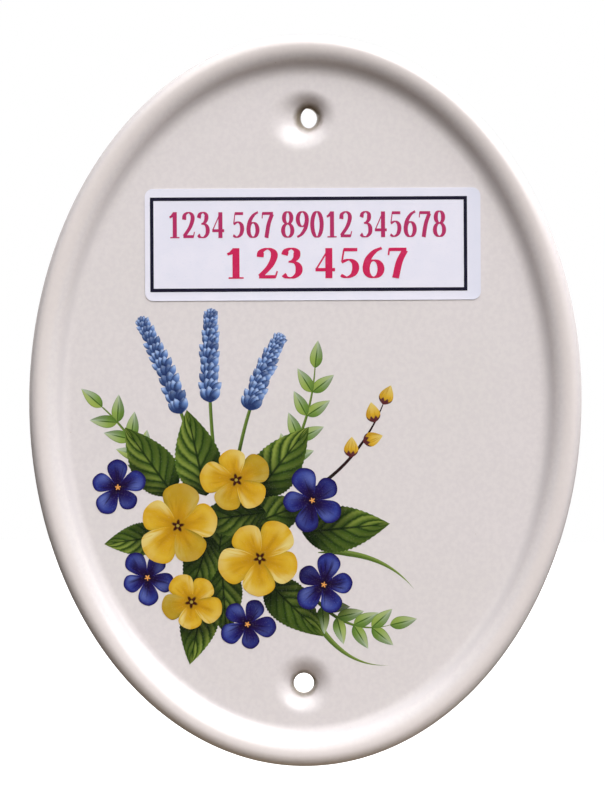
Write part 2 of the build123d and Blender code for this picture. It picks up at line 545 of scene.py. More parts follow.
@dataclass(frozen=True)
class YellowPetalFinish(PrintFinish):
    """Golden petals, ochre at the throat, with cream lights and olive shades laid on by hand."""

    throat: Colour = srgb(124, 96, 16)
    ochre: Colour = srgb(180, 130, 18)
    gold: Colour = srgb(204, 156, 30)
    lemon: Colour = srgb(214, 174, 50)
    cream: Colour = srgb(224, 206, 132)
    olive: Colour = srgb(120, 106, 32)

    def brushwork(self, graph: Graph, u: Term, v: Term, tone: Term) -> Term:
        """Radial streaks, a lit side and a shaded side.

        Args:
            graph: The material's tree.
            u: From the petal's foot to its edge.
            v: From one side to the other.
            tone: The petal's own tone.

        Returns:
            The petal's colour.
        """
        stops = [
            (0.0, self.throat), (0.2, self.ochre), (0.45, self.gold),
            (0.85, self.lemon), (1.0, self.gold),
        ]
        streak = graph.noise(graph.join(u * 1.5, v * 11.0, tone * 60.0), 1.0, 2.0)
        cloud = graph.noise(graph.join(u * 2.4, v * 3.0, tone * 90.0), 1.0, 2.0)
        colour = graph.ramp(u, stops)
        colour = graph.mix(cloud.smooth(0.45, 0.65) * u.smooth(0.25, 0.6) * 0.7, colour, self.gold)
        colour = graph.mix(streak.smooth(0.5, 0.7) * u.fade(0.45, 0.9) * 0.7, colour, self.ochre)
        groove = v.off_middle().fade(0.0, 0.16) * u.peak(0.1, 0.35, 0.8)
        colour = graph.mix(groove * 0.6, colour, self.ochre)
        lit_edge = u.smooth(0.62, 0.96) * v.fade(0.2, 0.7)
        lit = lit_edge + v.peak(0.1, 0.26, 0.42) * u.peak(0.3, 0.7, 0.95)
        colour = graph.mix(lit.capped() * (0.25 + tone * 0.7) * streak.smooth(0.3, 0.55), colour, self.cream)
        turned_away = tone.fade(0.05, 0.4) * u.smooth(0.15, 0.8)
        shaded = v.smooth(0.66, 1.0) * (0.5 + cloud * 0.6) + turned_away * 0.6
        return graph.mix(shaded.capped() * 0.8, colour, self.olive)


@dataclass(frozen=True)
class BluePetalFinish(PrintFinish):
    """Deep violet throats that open to ultramarine, with a soft sheen and dark veins."""

    shade: Colour = srgb(22, 8, 40)
    throat: Colour = srgb(22, 8, 36)
    violet: Colour = srgb(29, 14, 62)
    ultramarine: Colour = srgb(34, 31, 104)
    sky: Colour = srgb(48, 60, 140)
    sheen: Colour = srgb(92, 106, 176)
    lip: Colour = srgb(24, 18, 70)

    def brushwork(self, graph: Graph, u: Term, v: Term, tone: Term) -> Term:
        """A dark throat, veins that run out from it and a sheen on one side.

        Args:
            graph: The material's tree.
            u: From the petal's foot to its edge.
            v: From one side to the other.
            tone: The petal's own tone.

        Returns:
            The petal's colour.
        """
        stops = [
            (0.0, self.throat), (0.3, self.violet), (0.58, self.ultramarine),
            (0.84, self.sky), (0.96, self.ultramarine), (1.0, self.lip),
        ]
        vein = graph.noise(graph.join(u * 1.2, v * 15.0, tone * 70.0), 1.0, 1.0)
        colour = graph.ramp(u, stops)
        sheen = v.peak(0.1, 0.34, 0.62) * u.peak(0.3, 0.72, 0.98)
        colour = graph.mix(sheen * (0.25 + tone * 0.75), colour, self.sheen)
        colour = graph.mix(vein.smooth(0.52, 0.7) * u.fade(0.55, 0.95) * 0.7, colour, self.throat)
        shaded = v.smooth(0.55, 1.0) * 0.8 + tone.fade(0.0, 0.45) * 0.6
        return graph.mix(shaded.capped() * 0.8, colour, self.violet)


@dataclass(frozen=True)
class BroadLeafFinish(PrintFinish):
    """Dark quilted leaves with sunk veins."""

    vein_pairs: float = 7.0
    vein_rake: float = 0.3
    deep: Colour = srgb(22, 40, 12)
    green: Colour = srgb(62, 86, 28)
    bright: Colour = srgb(136, 152, 66)
    edge: Colour = srgb(84, 112, 44)

    def brushwork(self, graph: Graph, u: Term, v: Term, tone: Term) -> Term:
        """Light bellies between dark veins, darker where the leaf goes under the flowers.

        Args:
            graph: The material's tree.
            u: From stalk to tip.
            v: From one edge to the other.
            tone: The leaf's own tone.

        Returns:
            The leaf's colour.
        """
        across = v.off_middle()
        wander = graph.noise(graph.join(u * 5.0, v * 5.0, tone * 50.0), 1.0, 2.0) - 0.5
        rank = ((u - across * self.vein_rake) * self.vein_pairs + wander * 0.4).fraction()
        vein = 1.0 - rank.smooth(0.0, 0.2) * rank.fade(0.86, 1.0)
        lit = rank.peak(0.08, 0.36, 0.95) * (0.3 + v.smooth(0.35, 0.65) * 0.7)
        colour = graph.mix(lit * (0.45 + tone * 0.55), self.green, self.bright)
        colour = graph.mix(across.smooth(0.8, 1.0) * (0.4 + wander), colour, self.edge)
        colour = graph.mix(vein * across.fade(0.6, 1.0) * 0.75, colour, self.deep)
        colour = graph.mix(across.fade(0.02, 0.08) * 0.9, colour, self.deep)
        under = u.fade(0.1, 0.5) * 0.85 + v.fade(0.1, 0.5) * 0.3
        return graph.mix(under.capped(), colour, self.deep)


@dataclass(frozen=True)
class LeafletFinish(PrintFinish):
    """Light leaflets that grey towards their tips."""

    foot: Colour = srgb(76, 108, 40)
    green: Colour = srgb(122, 152, 72)
    tip: Colour = srgb(180, 190, 172)
    fresh: Colour = srgb(160, 176, 84)
    rib: Colour = srgb(64, 92, 36)

    def brushwork(self, graph: Graph, u: Term, v: Term, tone: Term) -> Term:
        """A dark rib between a fresh half and a shaded half.

        Args:
            graph: The material's tree.
            u: From stalk to tip.
            v: From one edge to the other.
            tone: The leaflet's own tone.

        Returns:
            The leaflet's colour.
        """
        across = v.off_middle()
        colour = graph.ramp(u, [(0.0, self.foot), (0.45, self.green), (1.0, self.tip)])
        colour = graph.mix(v.smooth(0.5, 0.62) * (0.3 + tone * 0.5), colour, self.fresh)
        colour = graph.mix(v.fade(0.2, 0.5) * (1.0 - tone) * 0.7, colour, self.foot)
        colour = graph.mix(across.smooth(0.8, 1.0) * 0.5, colour, self.foot)
        return graph.mix(across.fade(0.03, 0.16) * u.fade(0.6, 0.9), colour, self.rib)


@dataclass(frozen=True)
class FloretFinish(PrintFinish):
    """Small blue florets, navy in their gaps and pale at their lips."""

    gap: Colour = srgb(38, 54, 100)
    blue: Colour = srgb(106, 138, 196)
    pale: Colour = srgb(172, 194, 232)

    def brushwork(self, graph: Graph, u: Term, v: Term, tone: Term) -> Term:
        """A navy foot and one dark side.

        Args:
            graph: The material's tree.
            u: From foot to tip.
            v: From one edge to the other.
            tone: The floret's own tone.

        Returns:
            The floret's colour.
        """
        colour = graph.ramp(u, [(0.3, self.gap), (0.62, self.blue), (0.84, self.pale), (1.0, self.blue)])
        colour = graph.mix(v.smooth(0.5, 0.95) * 0.8, colour, self.gap)
        colour = graph.mix(v.fade(0.05, 0.3) * 0.45, colour, self.blue)
        return graph.mix(tone.fade(0.1, 0.45) * 0.6, colour, self.gap)


@dataclass(frozen=True)
class BudFinish(PrintFinish):
    """Yellow buds in reddish-brown scales."""

    scale: Colour = srgb(86, 40, 44)
    ochre: Colour = srgb(178, 130, 26)
    yellow: Colour = srgb(210, 168, 46)
    pale: Colour = srgb(220, 196, 110)

    def brushwork(self, graph: Graph, u: Term, v: Term, tone: Term) -> Term:
        """Scales that end in teeth, and furled petals above them.

        Args:
            graph: The material's tree.
            u: From foot to tip.
            v: From one edge to the other.
            tone: The bud's own tone.

        Returns:
            The bud's colour.
        """
        furl = graph.noise(graph.join(u * 2.0, v * 9.0, tone * 40.0), 1.0, 1.0)
        teeth = u + (v * 3.0).fraction().peak(0.0, 0.5, 1.0) * 0.14
        colour = graph.ramp(u, [(0.2, self.ochre), (0.55, self.yellow), (0.95, self.pale)])
        colour = graph.mix(furl.smooth(0.5, 0.7) * 0.6, colour, self.ochre)
        colour = graph.mix(v.smooth(0.6, 1.0) * 0.6, colour, self.ochre)
        return graph.mix(teeth.fade(0.4, 0.5), colour, self.scale)


@dataclass(frozen=True)
class StemFinish(PrintFinish):
    """Stems and grass in fresh green, and the twig in dark brown, by their tone."""

    bark: Colour = srgb(44, 26, 28)
    green: Colour = srgb(78, 102, 40)
    fresh: Colour = srgb(138, 160, 78)

    def brushwork(self, graph: Graph, u: Term, v: Term, tone: Term) -> Term:
        """A lit side, and a tip paler than the foot.

        Args:
            graph: The material's tree.
            u: From foot to tip.
            v: From one edge to the other.
            tone: 0 for bark, above a quarter for green.

        Returns:
            The stem's colour.
        """
        fresh = v.smooth(0.3, 0.8) * 0.6 + u.smooth(0.3, 1.0) * 0.4
        leafy = graph.mix(fresh * tone, self.green, self.fresh)
        return graph.mix(tone.smooth(0.1, 0.25), self.bark, leafy)


@dataclass(frozen=True)
class EyeFinish(PrintFinish):
    """Flower middles: a brown star on gold, and an orange point in dark violet, by their tone."""

    gold: Colour = srgb(178, 132, 22)
    star: Colour = srgb(58, 22, 12)
    pistil: Colour = srgb(172, 150, 62)
    violet: Colour = srgb(24, 8, 40)
    orange: Colour = srgb(232, 160, 84)
    ray_count: float = 5.0
    ray_length: float = 0.22

    def brushwork(self, graph: Graph, u: Term, v: Term, tone: Term) -> Term:
        """A star of five rays round a light middle.

        Args:
            graph: The material's tree.
            u: Along the disc, as the share of a half turn.
            v: Across the disc, from one edge to the other.
            tone: Under a half for a yellow flower and over it for a blue one.

        Returns:
            The eye's colour.
        """
        x = (u * math.pi).cosine() * -1.0
        y = (v * 2.0 - 1.0) * (u * math.pi).sine()
        out = (x * x + y * y) ** 0.5
        rays = (graph.math("ARCTAN2", y, x) * self.ray_count).cosine() * self.ray_length
        starred = graph.mix((out - rays).smooth(0.45, 0.8), self.star, self.gold)
        yellow = graph.mix(out.fade(0.14, 0.26), starred, self.pistil)
        blue = graph.mix((out - rays).fade(0.35, 0.55), self.violet, self.orange)
        return graph.mix(tone.smooth(0.45, 0.55), yellow, blue)


class PrintedFilm:
    """Gathers flat printed shapes into one mesh of thin closed plates."""

    def __init__(self, ground: float) -> None:
        """Starts a film.

        Args:
            ground: Y of the surface that the film lies on.
        """
        self.ground = ground
        self.points: list[tuple[float, float, float]] = []
        self.faces: list[list[int]] = []
        self.marks: list[Place] = []
        self.tones: list[float] = []

    def add(
        self,
        rows: Rows,
        level: float,
        tone: float | None = None,
        closed: bool = False,
        lift: Callable[[Vector], float] | None = None,
    ) -> None:
        """Adds one plate.

        Args:
            rows: Rows of points from the shape's foot to its tip, each from right to left. A first or
                last row of one place is drawn together to a point.
            level: Height of the plate's face above the ground.
            tone: The plate's own tone, or None to leave it to what places the plate.
            closed: Whether the last row joins the first.
            lift: Height by which the plate stands off the ground at a point.
        """
        grid, flat, marks = self._number(rows, closed)
        count, base = len(flat), len(self.points)
        raised = [lift(point) if lift else 0.0 for point in flat]
        for depth in (level, 0.0):
            self.points += [(p.x, self.ground - depth - up, p.y) for p, up in zip(flat, raised)]
        front = self._cells(grid, closed)
        sides = {(face[k - 1], face[k]) for face in front for k in range(len(face))}
        walls = [[a, a + count, b + count, b] for a, b in sorted(sides) if (b, a) not in sides]
        back = [[corner + count for corner in reversed(face)] for face in front]
        self.faces += [[base + corner for corner in face] for face in [*front, *walls, *back]]
        self.marks += marks * 2
        if tone is not None:
            self.tones += [tone] * (2 * count)

    @staticmethod
    def _number(rows: Rows, closed: bool) -> tuple[list[list[int]], list[Vector], list[Place]]:
        """Numbers a plate's points, with a drawn-together row as one point.

        Args:
            rows: Rows of points.
            closed: Whether the last row joins the first.

        Returns:
            The numbers in rows, the points in order, and each point's place along and across.
        """
        grid: list[list[int]] = []
        flat: list[Vector] = []
        marks: list[Place] = []
        steps = len(rows) - (0 if closed else 1)
        for j, row in enumerate(rows):
            if (row[0] - row[-1]).length < SAME_PLACE:
                grid.append([len(flat)] * len(row))
                flat.append(row[0])
                marks.append((j / steps, 0.5))
                continue
            grid.append([len(flat) + i for i in range(len(row))])
            flat += row
            marks += [(j / steps, i / (len(row) - 1)) for i in range(len(row))]
        return grid, flat, marks

    @staticmethod
    def _cells(grid: list[list[int]], closed: bool) -> list[list[int]]:
        """Lays faces between neighbouring rows.

        Args:
            grid: The points' numbers in rows.
            closed: Whether the last row joins the first.

        Returns:
            The front faces, anticlockwise as they are seen.
        """
        pairs = list(zip(grid, grid[1:]))
        if closed:
            pairs.append((grid[-1], grid[0]))
        faces = []
        for low, high in pairs:
            for i in range(len(low) - 1):
                corners = list(dict.fromkeys([low[i], high[i], high[i + 1], low[i + 1]]))
                if len(corners) > 2:
                    faces.append(corners)
        return faces

    def build(self, name: str, finish: bpy.types.Material) -> bpy.types.Object:
        """Makes the film's object.

        Args:
            name: The object's name.
            finish: Its material.

        Returns:
            The new object, linked to the scene.
        """
        mesh = bpy.data.meshes.new(name)
        mesh.from_pydata(self.points, [], self.faces)
        corners = [self.marks[corner] for face in self.faces for corner in face]
        layer = mesh.uv_layers.new(name="print")
        layer.data.foreach_set("uv", [value for mark in corners for value in mark])
        if self.tones:
            mesh.attributes.new(TONE, "FLOAT", "POINT").data.foreach_set("value", self.tones)
        mesh.materials.append(finish)
        piece = bpy.data.objects.new(name, mesh)
        bpy.context.scene.collection.objects.link(piece)
        return piece


class PlacingTree:
    """A Geometry Nodes tree that sets copies of a printed shape, and its named inputs."""

    SHARED = {
        "Geometry": "NodeSocketGeometry",
        "Shape": "NodeSocketObject",
        "Finish": "NodeSocketMaterial",
        "Lift": "NodeSocketFloat",
        "Jitter": "NodeSocketFloat",
        "Seed": "NodeSocketInt",
    }

    def __init__(self, name: str, inputs: dict[str, str]) -> None:
        """Starts a tree.

        Args:
            name: The tree's name.
            inputs: Names and socket types of the inputs that only this tree has.
        """
        self.tree = bpy.data.node_groups.new(name, "GeometryNodeTree")
        self.graph = Graph(self.tree)
        interface = self.tree.interface
        self.identifiers = {
            label: interface.new_socket(label, in_out="INPUT", socket_type=kind).identifier
            for label, kind in {**self.SHARED, **inputs}.items()
        }
        interface.new_socket("Geometry", in_out="OUTPUT", socket_type="NodeSocketGeometry")
        self.entry = self.graph.node("NodeGroupInput", {}, {})
        self.index = self.graph.term("GeometryNodeInputIndex", {}, {})

    def given(self, label: str) -> Term:
        """The tree's input of that name."""
        return Term(self.graph, self.entry.outputs[label])

    def chance(self, low: float, high: float, salt: int) -> Term:
        """A random value for each copy, the same on every run."""
        # Inputs 2 and 3 and output 1 are the node's plain numbers.
        sockets = {2: low, 3: high, "ID": self.index, "Seed": self.given("Seed") + float(salt)}
        return self.graph.term("FunctionNodeRandomValue", {"data_type": "FLOAT"}, sockets, 1)

    def set_copies(self, count: Term, place: Term, heading: Term, size: Term) -> None:
        """Ends the tree: places the copies, each with a tone of its own.

        Args:
            count: How many copies there are.
            place: Where each stands.
            heading: Which way it points, in radians from +X towards +Z.
            size: How large it is.
        """
        graph = self.graph
        lifted = graph.vector("ADD", place, graph.join(0.0, self.index * self.given("Lift") * -1.0, 0.0))
        points = graph.term("GeometryNodePoints", {}, {"Count": count, "Position": lifted})
        shape = graph.term("GeometryNodeObjectInfo", {}, {"Object": self.given("Shape")}, "Geometry")
        turned = heading + self.chance(-1.0, 1.0, 1) * self.given("Jitter")
        copies = graph.term("GeometryNodeInstanceOnPoints", {}, {
            "Points": points,
            "Instance": shape,
            "Rotation": graph.join(0.0, turned * -1.0, 0.0),
            "Scale": graph.join(size, 1.0, size),
        })
        settings = {"data_type": "FLOAT", "domain": "INSTANCE"}
        sockets = {"Geometry": copies, "Name": TONE, "Value": self.chance(0.0, 1.0, 2)}
        toned = graph.term("GeometryNodeStoreNamedAttribute", settings, sockets)
        joined = graph.term("GeometryNodeJoinGeometry", {}, {0: [self.given("Geometry"), toned]})
        real = graph.term("GeometryNodeRealizeInstances", {}, {0: joined})
        sockets = {"Geometry": real, "Material": self.given("Finish")}
        graph.node("NodeGroupOutput", {}, {0: graph.term("GeometryNodeSetMaterial", {}, sockets)})

    def use_on(self, holder: bpy.types.Object, values: dict[str, Any]) -> None:
        """Adds the tree to an object.

        Args:
            holder: The object that gathers the copies.
            values: The tree's inputs by name.
        """
        modifier = holder.modifiers.new(self.tree.name, "NODES")
        modifier.node_group = self.tree
        for label, value in values.items():
            modifier[self.identifiers[label]] = value


class StemPlacing(PlacingTree):
    """Sets rows of copies along a curved stem, spread to its sides and smaller towards its tip."""

    def __init__(self) -> None:
        """Builds the tree."""
        super().__init__("along_a_stem", {
            "Foot": "NodeSocketVector",
            "Bend": "NodeSocketVector",
            "Tip": "NodeSocketVector",
            "Rows": "NodeSocketInt",
            "Columns": "NodeSocketInt",
            "First": "NodeSocketFloat",
            "Last": "NodeSocketFloat",
            "Crowding": "NodeSocketFloat",
            "Spread": "NodeSocketFloat",
            "Tip Size": "NodeSocketFloat",
        })
        graph, given = self.graph, self.given
        row = (self.index / given("Columns")).floor()
        column = self.index - row * given("Columns")
        side = column * 2.0 / (given("Columns") - 1.0) - 1.0
        below_tip = 1.0 - row / (given("Rows") - 1.0)
        climbed = 1.0 - below_tip ** given("Crowding")
        share = given("First") + (given("Last") - given("First")) * climbed
        size = given("Tip Size") + (1.0 - given("Tip Size")) * below_tip**0.5
        ends = {"Start": given("Foot"), "Middle": given("Bend"), "End": given("Tip")}
        curve = graph.term("GeometryNodeCurveQuadraticBezier", {}, {"Resolution": 32, **ends})
        sample = graph.node("GeometryNodeSampleCurve", {"mode": "FACTOR"}, {0: curve, "Factor": share})
        x, _, z = graph.split(Term(graph, sample.outputs["Tangent"]))
        heading = graph.math("ARCTAN2", z, x) + side * given("Spread")
        place = Term(graph, sample.outputs["Position"])
        self.set_copies(given("Rows") * given("Columns"), place, heading, size)


class RingPlacing(PlacingTree):
    """Sets copies round a middle, each pointing outwards and drawn short along the way that it nods."""

    def __init__(self) -> None:
        """Builds the tree."""
        super().__init__("round_an_eye", {
            "Middle": "NodeSocketVector",
            "Copies": "NodeSocketInt",
            "Size": "NodeSocketFloat",
            "Turn": "NodeSocketFloat",
            "Nod": "NodeSocketFloat",
            "Nod Share": "NodeSocketFloat",
        })
        given = self.given
        heading = given("Turn") + self.index / given("Copies") * math.tau
        towards = (heading - given("Nod")).cosine()
        size = given("Size") * (1.0 - given("Nod Share") * towards * towards)
        self.set_copies(given("Copies"), given("Middle"), heading, size)


def settle(piece: bpy.types.Object, slot: str, *nodes: str) -> None:
    """Hangs a finished piece on the body and hides the solids that it stands for.

    Args:
        piece: The object, in its place.
        slot: The record's material slot that its finish belongs to; not used.
        nodes: The solids that it stands for.
    """
    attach(piece, BODY)
    if nodes:
        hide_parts(*nodes)
    LOG.info("%s: %d faces, stands for %s", piece.name, len(piece.data.polygons), nodes or "nothing")


@dataclass
class Plate:
    """The one-piece ceramic plate, drawn as its solid is, but finely enough for gloss. Millimetres.

    Runs are how far glaze has run into each hole from the left. Swells are the ways, in degrees, that each
    mouth is drawn out, and how far. Grip and focus are the powers that keep a run to the throat and a swell
    to its way.
    """

    rim_width: float = 10.2
    rim_roll: float = 2.7
    crown_share: float = 0.54
    back_round: float = 1.2
    flare: float = 5.2
    runs: tuple[float, ...] = (1.0, 0.0)
    swells: tuple[tuple[Place, ...], ...] = (((205.0, 2.6), (90.0, -0.9)), ())
    run_grip: int = 4
    swell_focus: int = 6
    guard: float = 0.3
    around: int = 360
    hole_around: int = 72
    bend_steps: int = 20
    sharp: float = 40.0

    def __post_init__(self) -> None:
        """Reads the plate's size and its holes from the frame."""
        low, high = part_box("plaque")
        self.half_width = (high.x - low.x) / 2 / MM
        self.half_height = (high.z - low.z) / 2 / MM
        self.crest = -low.y / MM
        self.field = -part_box("transfer_flower_eyes")[1].y / MM
        bores = [mount for mount in frame["record"]["mounts"] if mount["kind"] == "bore"]
        self.holes = tuple((bore["pos_m"][0] / MM, bore["pos_m"][2] / MM) for bore in bores)
        self.hole_radius = bores[0]["dims"]["r_mm"]

    def turns(self, angle: float) -> list[float]:
        """Angles from 0 to a bend's whole angle, in even steps."""
        return [angle * k / self.bend_steps for k in range(self.bend_steps + 1)]

    def rim_section(self) -> list[Place]:
        """The rim from the flat field, over the crest, to the flat back.

        Returns:
            How far in from the outline and how far off the wall each point is.
        """
        run, rise = self.rim_width - self.rim_roll, self.crest - self.field
        slope = 2 * math.atan(rise / run)
        radii = run / math.sin(slope)
        cove, crown = (1 - self.crown_share) * radii, self.crown_share * radii
        roll, edge = self.rim_roll, self.back_round
        quarter = self.turns(math.pi / 2)
        points = [(self.rim_width + self.guard, self.field)]
        for a in self.turns(slope):
            points.append((self.rim_width - cove * math.sin(a), self.field + cove * (1 - math.cos(a))))
        for a in self.turns(slope)[-2::-1]:
            points.append((roll + crown * math.sin(a), self.crest - crown * (1 - math.cos(a))))
        points += [(roll * (1 - math.sin(a)), self.crest - roll * (1 - math.cos(a))) for a in quarter[1:]]
        points += [(edge * (1 - math.cos(a)), edge * (1 - math.sin(a))) for a in quarter]
        return [*points, (edge + self.guard, 0.0)]

    def hole_section(self) -> list[tuple[float, float, float, float]]:
        """A hole from the flat field, down its flared mouth, to the flat back.

        Returns:
            How far from the hole's middle and off the wall each point is, and its shares of swell and run.
        """
        radius, flare = self.hole_radius, self.flare
        points = [(radius + flare + self.guard, self.field, 1.0, 0.0)]
        for a in self.turns(math.pi / 2):
            steep = math.sin(a)
            out, depth = radius + flare * (1 - steep), self.field - flare * (1 - math.cos(a))
            points.append((out, depth, 1 - steep, steep**self.run_grip))
        return [*points, (radius, 0.0, 0.0, 0.0)]

    def rim_ring(self, inset: float) -> list[Place]:
        """A line round the plate that stays as far in from the outline everywhere.

        Args:
            inset: How far in.

        Returns:
            Points across and up.
        """
        wide, tall = self.half_width, self.half_height
        ring = []
        for k in range(self.around):
            cos, sin = math.cos(math.tau * k / self.around), math.sin(math.tau * k / self.around)
            out = Vector((cos / wide, sin / tall)).normalized()
            ring.append((wide * cos - inset * out.x, tall * sin - inset * out.y))
        return ring

    def hole_ring(self, middle: Place, radius: float, swells: list[Place], run: float) -> list[Place]:
        """A line round a hole: a circle, drawn out by its swells and drawn in from the left by the glaze.

        Args:
            middle: The hole's middle, across and up.
            radius: Of the circle.
            swells: Ways that it is drawn out, in degrees, and how far.
            run: How far the glaze has run in.

        Returns:
            Points across and up.
        """
        ring = []
        for k in range(self.hole_around):
            angle = math.tau * k / self.hole_around
            out = radius
            for way, far in swells:
                out += far * math.cos((angle - math.radians(way)) / 2) ** self.swell_focus
            across = out * math.cos(angle) + run * (1 - math.cos(angle)) / 2
            ring.append((middle[0] + across, middle[1] + out * math.sin(angle)))
        return ring

    def build(self) -> None:
        """Sweeps the rim and the holes, closes them with field and back, and glazes the plate."""
        rough = bmesh.new()
        walls = [[(self.rim_ring(inset), depth) for inset, depth in self.rim_section()]]
        for middle, swells, run in zip(self.holes, self.swells, self.runs):
            wall = []
            for radius, depth, swelling, running in self.hole_section():
                swelled = [(way, far * swelling) for way, far in swells]
                wall.append((self.hole_ring(middle, radius, swelled, run * running), depth))
            walls.append(wall)
        rims: list[list[bmesh.types.BMEdge]] = [[], []]
        for wall in walls:
            for flat, rim in zip(rims, self._sweep(rough, wall)):
                flat += rim
        for flat in rims:
            bmesh.ops.triangle_fill(rough, edges=flat, use_beauty=True)
        bmesh.ops.recalc_face_normals(rough, faces=rough.faces)
        mesh = bpy.data.meshes.new("ceramic_plate")
        rough.to_mesh(mesh)
        rough.free()
        mesh.shade_smooth()
        mesh.set_sharp_from_angle(angle=math.radians(self.sharp))
        mesh.materials.append(self.finish().material())
        piece = bpy.data.objects.new("ceramic_plate", mesh)
        bpy.context.scene.collection.objects.link(piece)
        settle(piece, "glaze", "plaque")

    @staticmethod
    def _sweep(
        rough: bmesh.types.BMesh, wall: list[tuple[list[Place], float]]
    ) -> tuple[list[bmesh.types.BMEdge], list[bmesh.types.BMEdge]]:
        """Lays a wall through rings.

        Args:
            rough: The mesh that gets the wall.
            wall: Each ring's points across and up, and how far off the wall it stands.

        Returns:
            The edges of its first ring and of its last one.
        """
        rings = []
        for ring, depth in wall:
            rings.append([rough.verts.new((x * MM, -depth * MM, z * MM)) for x, z in ring])
        for low, high in zip(rings, rings[1:]):
            for k in range(len(low)):
                rough.faces.new((low[k - 1], low[k], high[k], high[k - 1]))
        ends = []
        for ring in (rings[0], rings[-1]):
            ends.append([rough.edges.get((ring[k - 1], ring[k])) for k in range(len(ring))])
        return ends[0], ends[1]

    def finish(self) -> GlazeFinish:
        """The glaze, set out for this plate's field, crest and holes."""
        return GlazeFinish(
            "glaze",
            field_y=-self.field * MM,
            crest_y=-self.crest * MM,
            holes=tuple((x * MM, z * MM) for x, z in self.holes),
            hole_radius=self.hole_radius * MM,
        )


def turned(point: Vector, degrees: float) -> Vector:
    """Turns a point of the drawing about its origin, anticlockwise."""
    return Matrix.Rotation(math.radians(degrees), 2) @ point


def blade_side(length: float, width: float, belly: float, t: float) -> Vector:
    """A point on the left side of a leaf or petal along +X.

    Args:
        length: From foot to tip.
        width: Across the widest place.
        belly: Of its length, where the sides swell.
        t: Way along the side, from 0 at the foot to 1 at the tip.

    Returns:
        The point, as far along and as far to the left.
    """
    swell = 2 * t * (1 - t)
    return Vector((swell * belly * length + t * t * length, swell * width))


def row_across(x: float, half: float, columns: int) -> list[Vector]:
    """An even row of points across a shape, from right to left."""
    return [Vector((x, half * (2 * i / columns - 1))) for i in range(columns + 1)]


def leaf_rows(
    length: float, width: float, belly: float, steps: int, columns: int, teeth: float = 0.0
) -> Rows:
    """A leaf along +X, in rows from stalk to tip.

    Args:
        length: From stalk to tip.
        width: Across the widest place.
        belly: Of its length, where the sides swell.
        steps: How many stretches the leaf has along it.
        columns: How many across.
        teeth: Depth of the teeth on its edge, of the half width.

    Returns:
        Rows of points, each from right to left.
    """
    rows = []
    for j in range(steps + 1):
        side = blade_side(length, width, belly, j / steps)
        rows.append(row_across(side.x, side.y * (1 - teeth * (j % 2)), columns))
    return rows


def petal_rows(length: float, width: float, belly: float, steps: int, columns: int, wave: float) -> Rows:
    """A petal along +X, in rows that widen from its foot to its rounded edge.

    Args:
        length: From foot to tip.
        width: Across the widest place.
        belly: Of its length, where the sides swell.
        steps: How many stretches the petal has along it.
        columns: How many across, an even number.
        wave: How far the edge waves in and out, of its distance from the foot.

    Returns:
        Rows of points, each from right to left.
    """
    slim = 0.14
    waves = 9.0
    edge = []
    for i in range(columns + 1):
        across = 2 * i / columns - 1
        point = blade_side(length, width, belly, 1 - (1 - slim) * abs(across))
        point.y = math.copysign(point.y, across)
        edge.append(point * (1 + wave * (math.cos(across * waves) - 1.0)))
    return [[point * (j / steps) for point in edge] for j in range(steps + 1)]


def disc_rows(radius: float, steps: int, columns: int) -> Rows:
    """A disc about the origin, in rows along +X that are even round its edge.

    Args:
        radius: The disc's radius.
        steps: How many stretches half its edge has.
        columns: How many there are across.

    Returns:
        Rows of points, each from right to left.
    """
    rows = []
    for j in range(steps + 1):
        angle = math.pi * j / steps
        rows.append(row_across(-radius * math.cos(angle), radius * math.sin(angle), columns))
    return rows


@dataclass(frozen=True)
class Bloom:
    """A flower of the posy: middle, radius, turn, and the way that it nods, in millimetres and degrees."""

    x: float
    z: float
    radius: float
    turn: float
    nod: float


@dataclass(frozen=True)
class Leaf:
    """A broad leaf of the posy: end of its stalk, direction of its tip and length."""

    x: float
    z: float
    heading: float
    length: float


@dataclass(frozen=True)
class Stem:
    """A stem of the posy: foot, bend and tip.

    Taper is the share of its width that it loses by the tip. Root is the share that it has at its foot, and
    root share is how much of its length it takes to widen from there.
    """

    foot: Place
    bend: Place
    tip: Place
    taper: float = 0.6
    root: float = 1.0
    root_share: float = 0.25

    def rows(self, width: float, steps: int) -> Rows:
        """A ribbon that tapers from the foot to the tip.

        Args:
            width: Across the foot.
            steps: How many stretches it has along it.

        Returns:
            Rows of two points, from right to left.
        """
        foot, bend, tip = Vector(self.foot), Vector(self.bend), Vector(self.tip)
        across = turned((bend - foot).normalized(), 90) * (width / 2)
        rows = []
        for j in range(steps + 1):
            t = j / steps
            middle = foot * (1 - t) ** 2 + bend * (2 * t * (1 - t)) + tip * t**2
            swell = self.root + (1 - self.root) * min(1.0, t / self.root_share)
            taper = (1 - t * t * self.taper) * swell
            rows.append([middle - across * taper, middle + across * taper])
        return rows


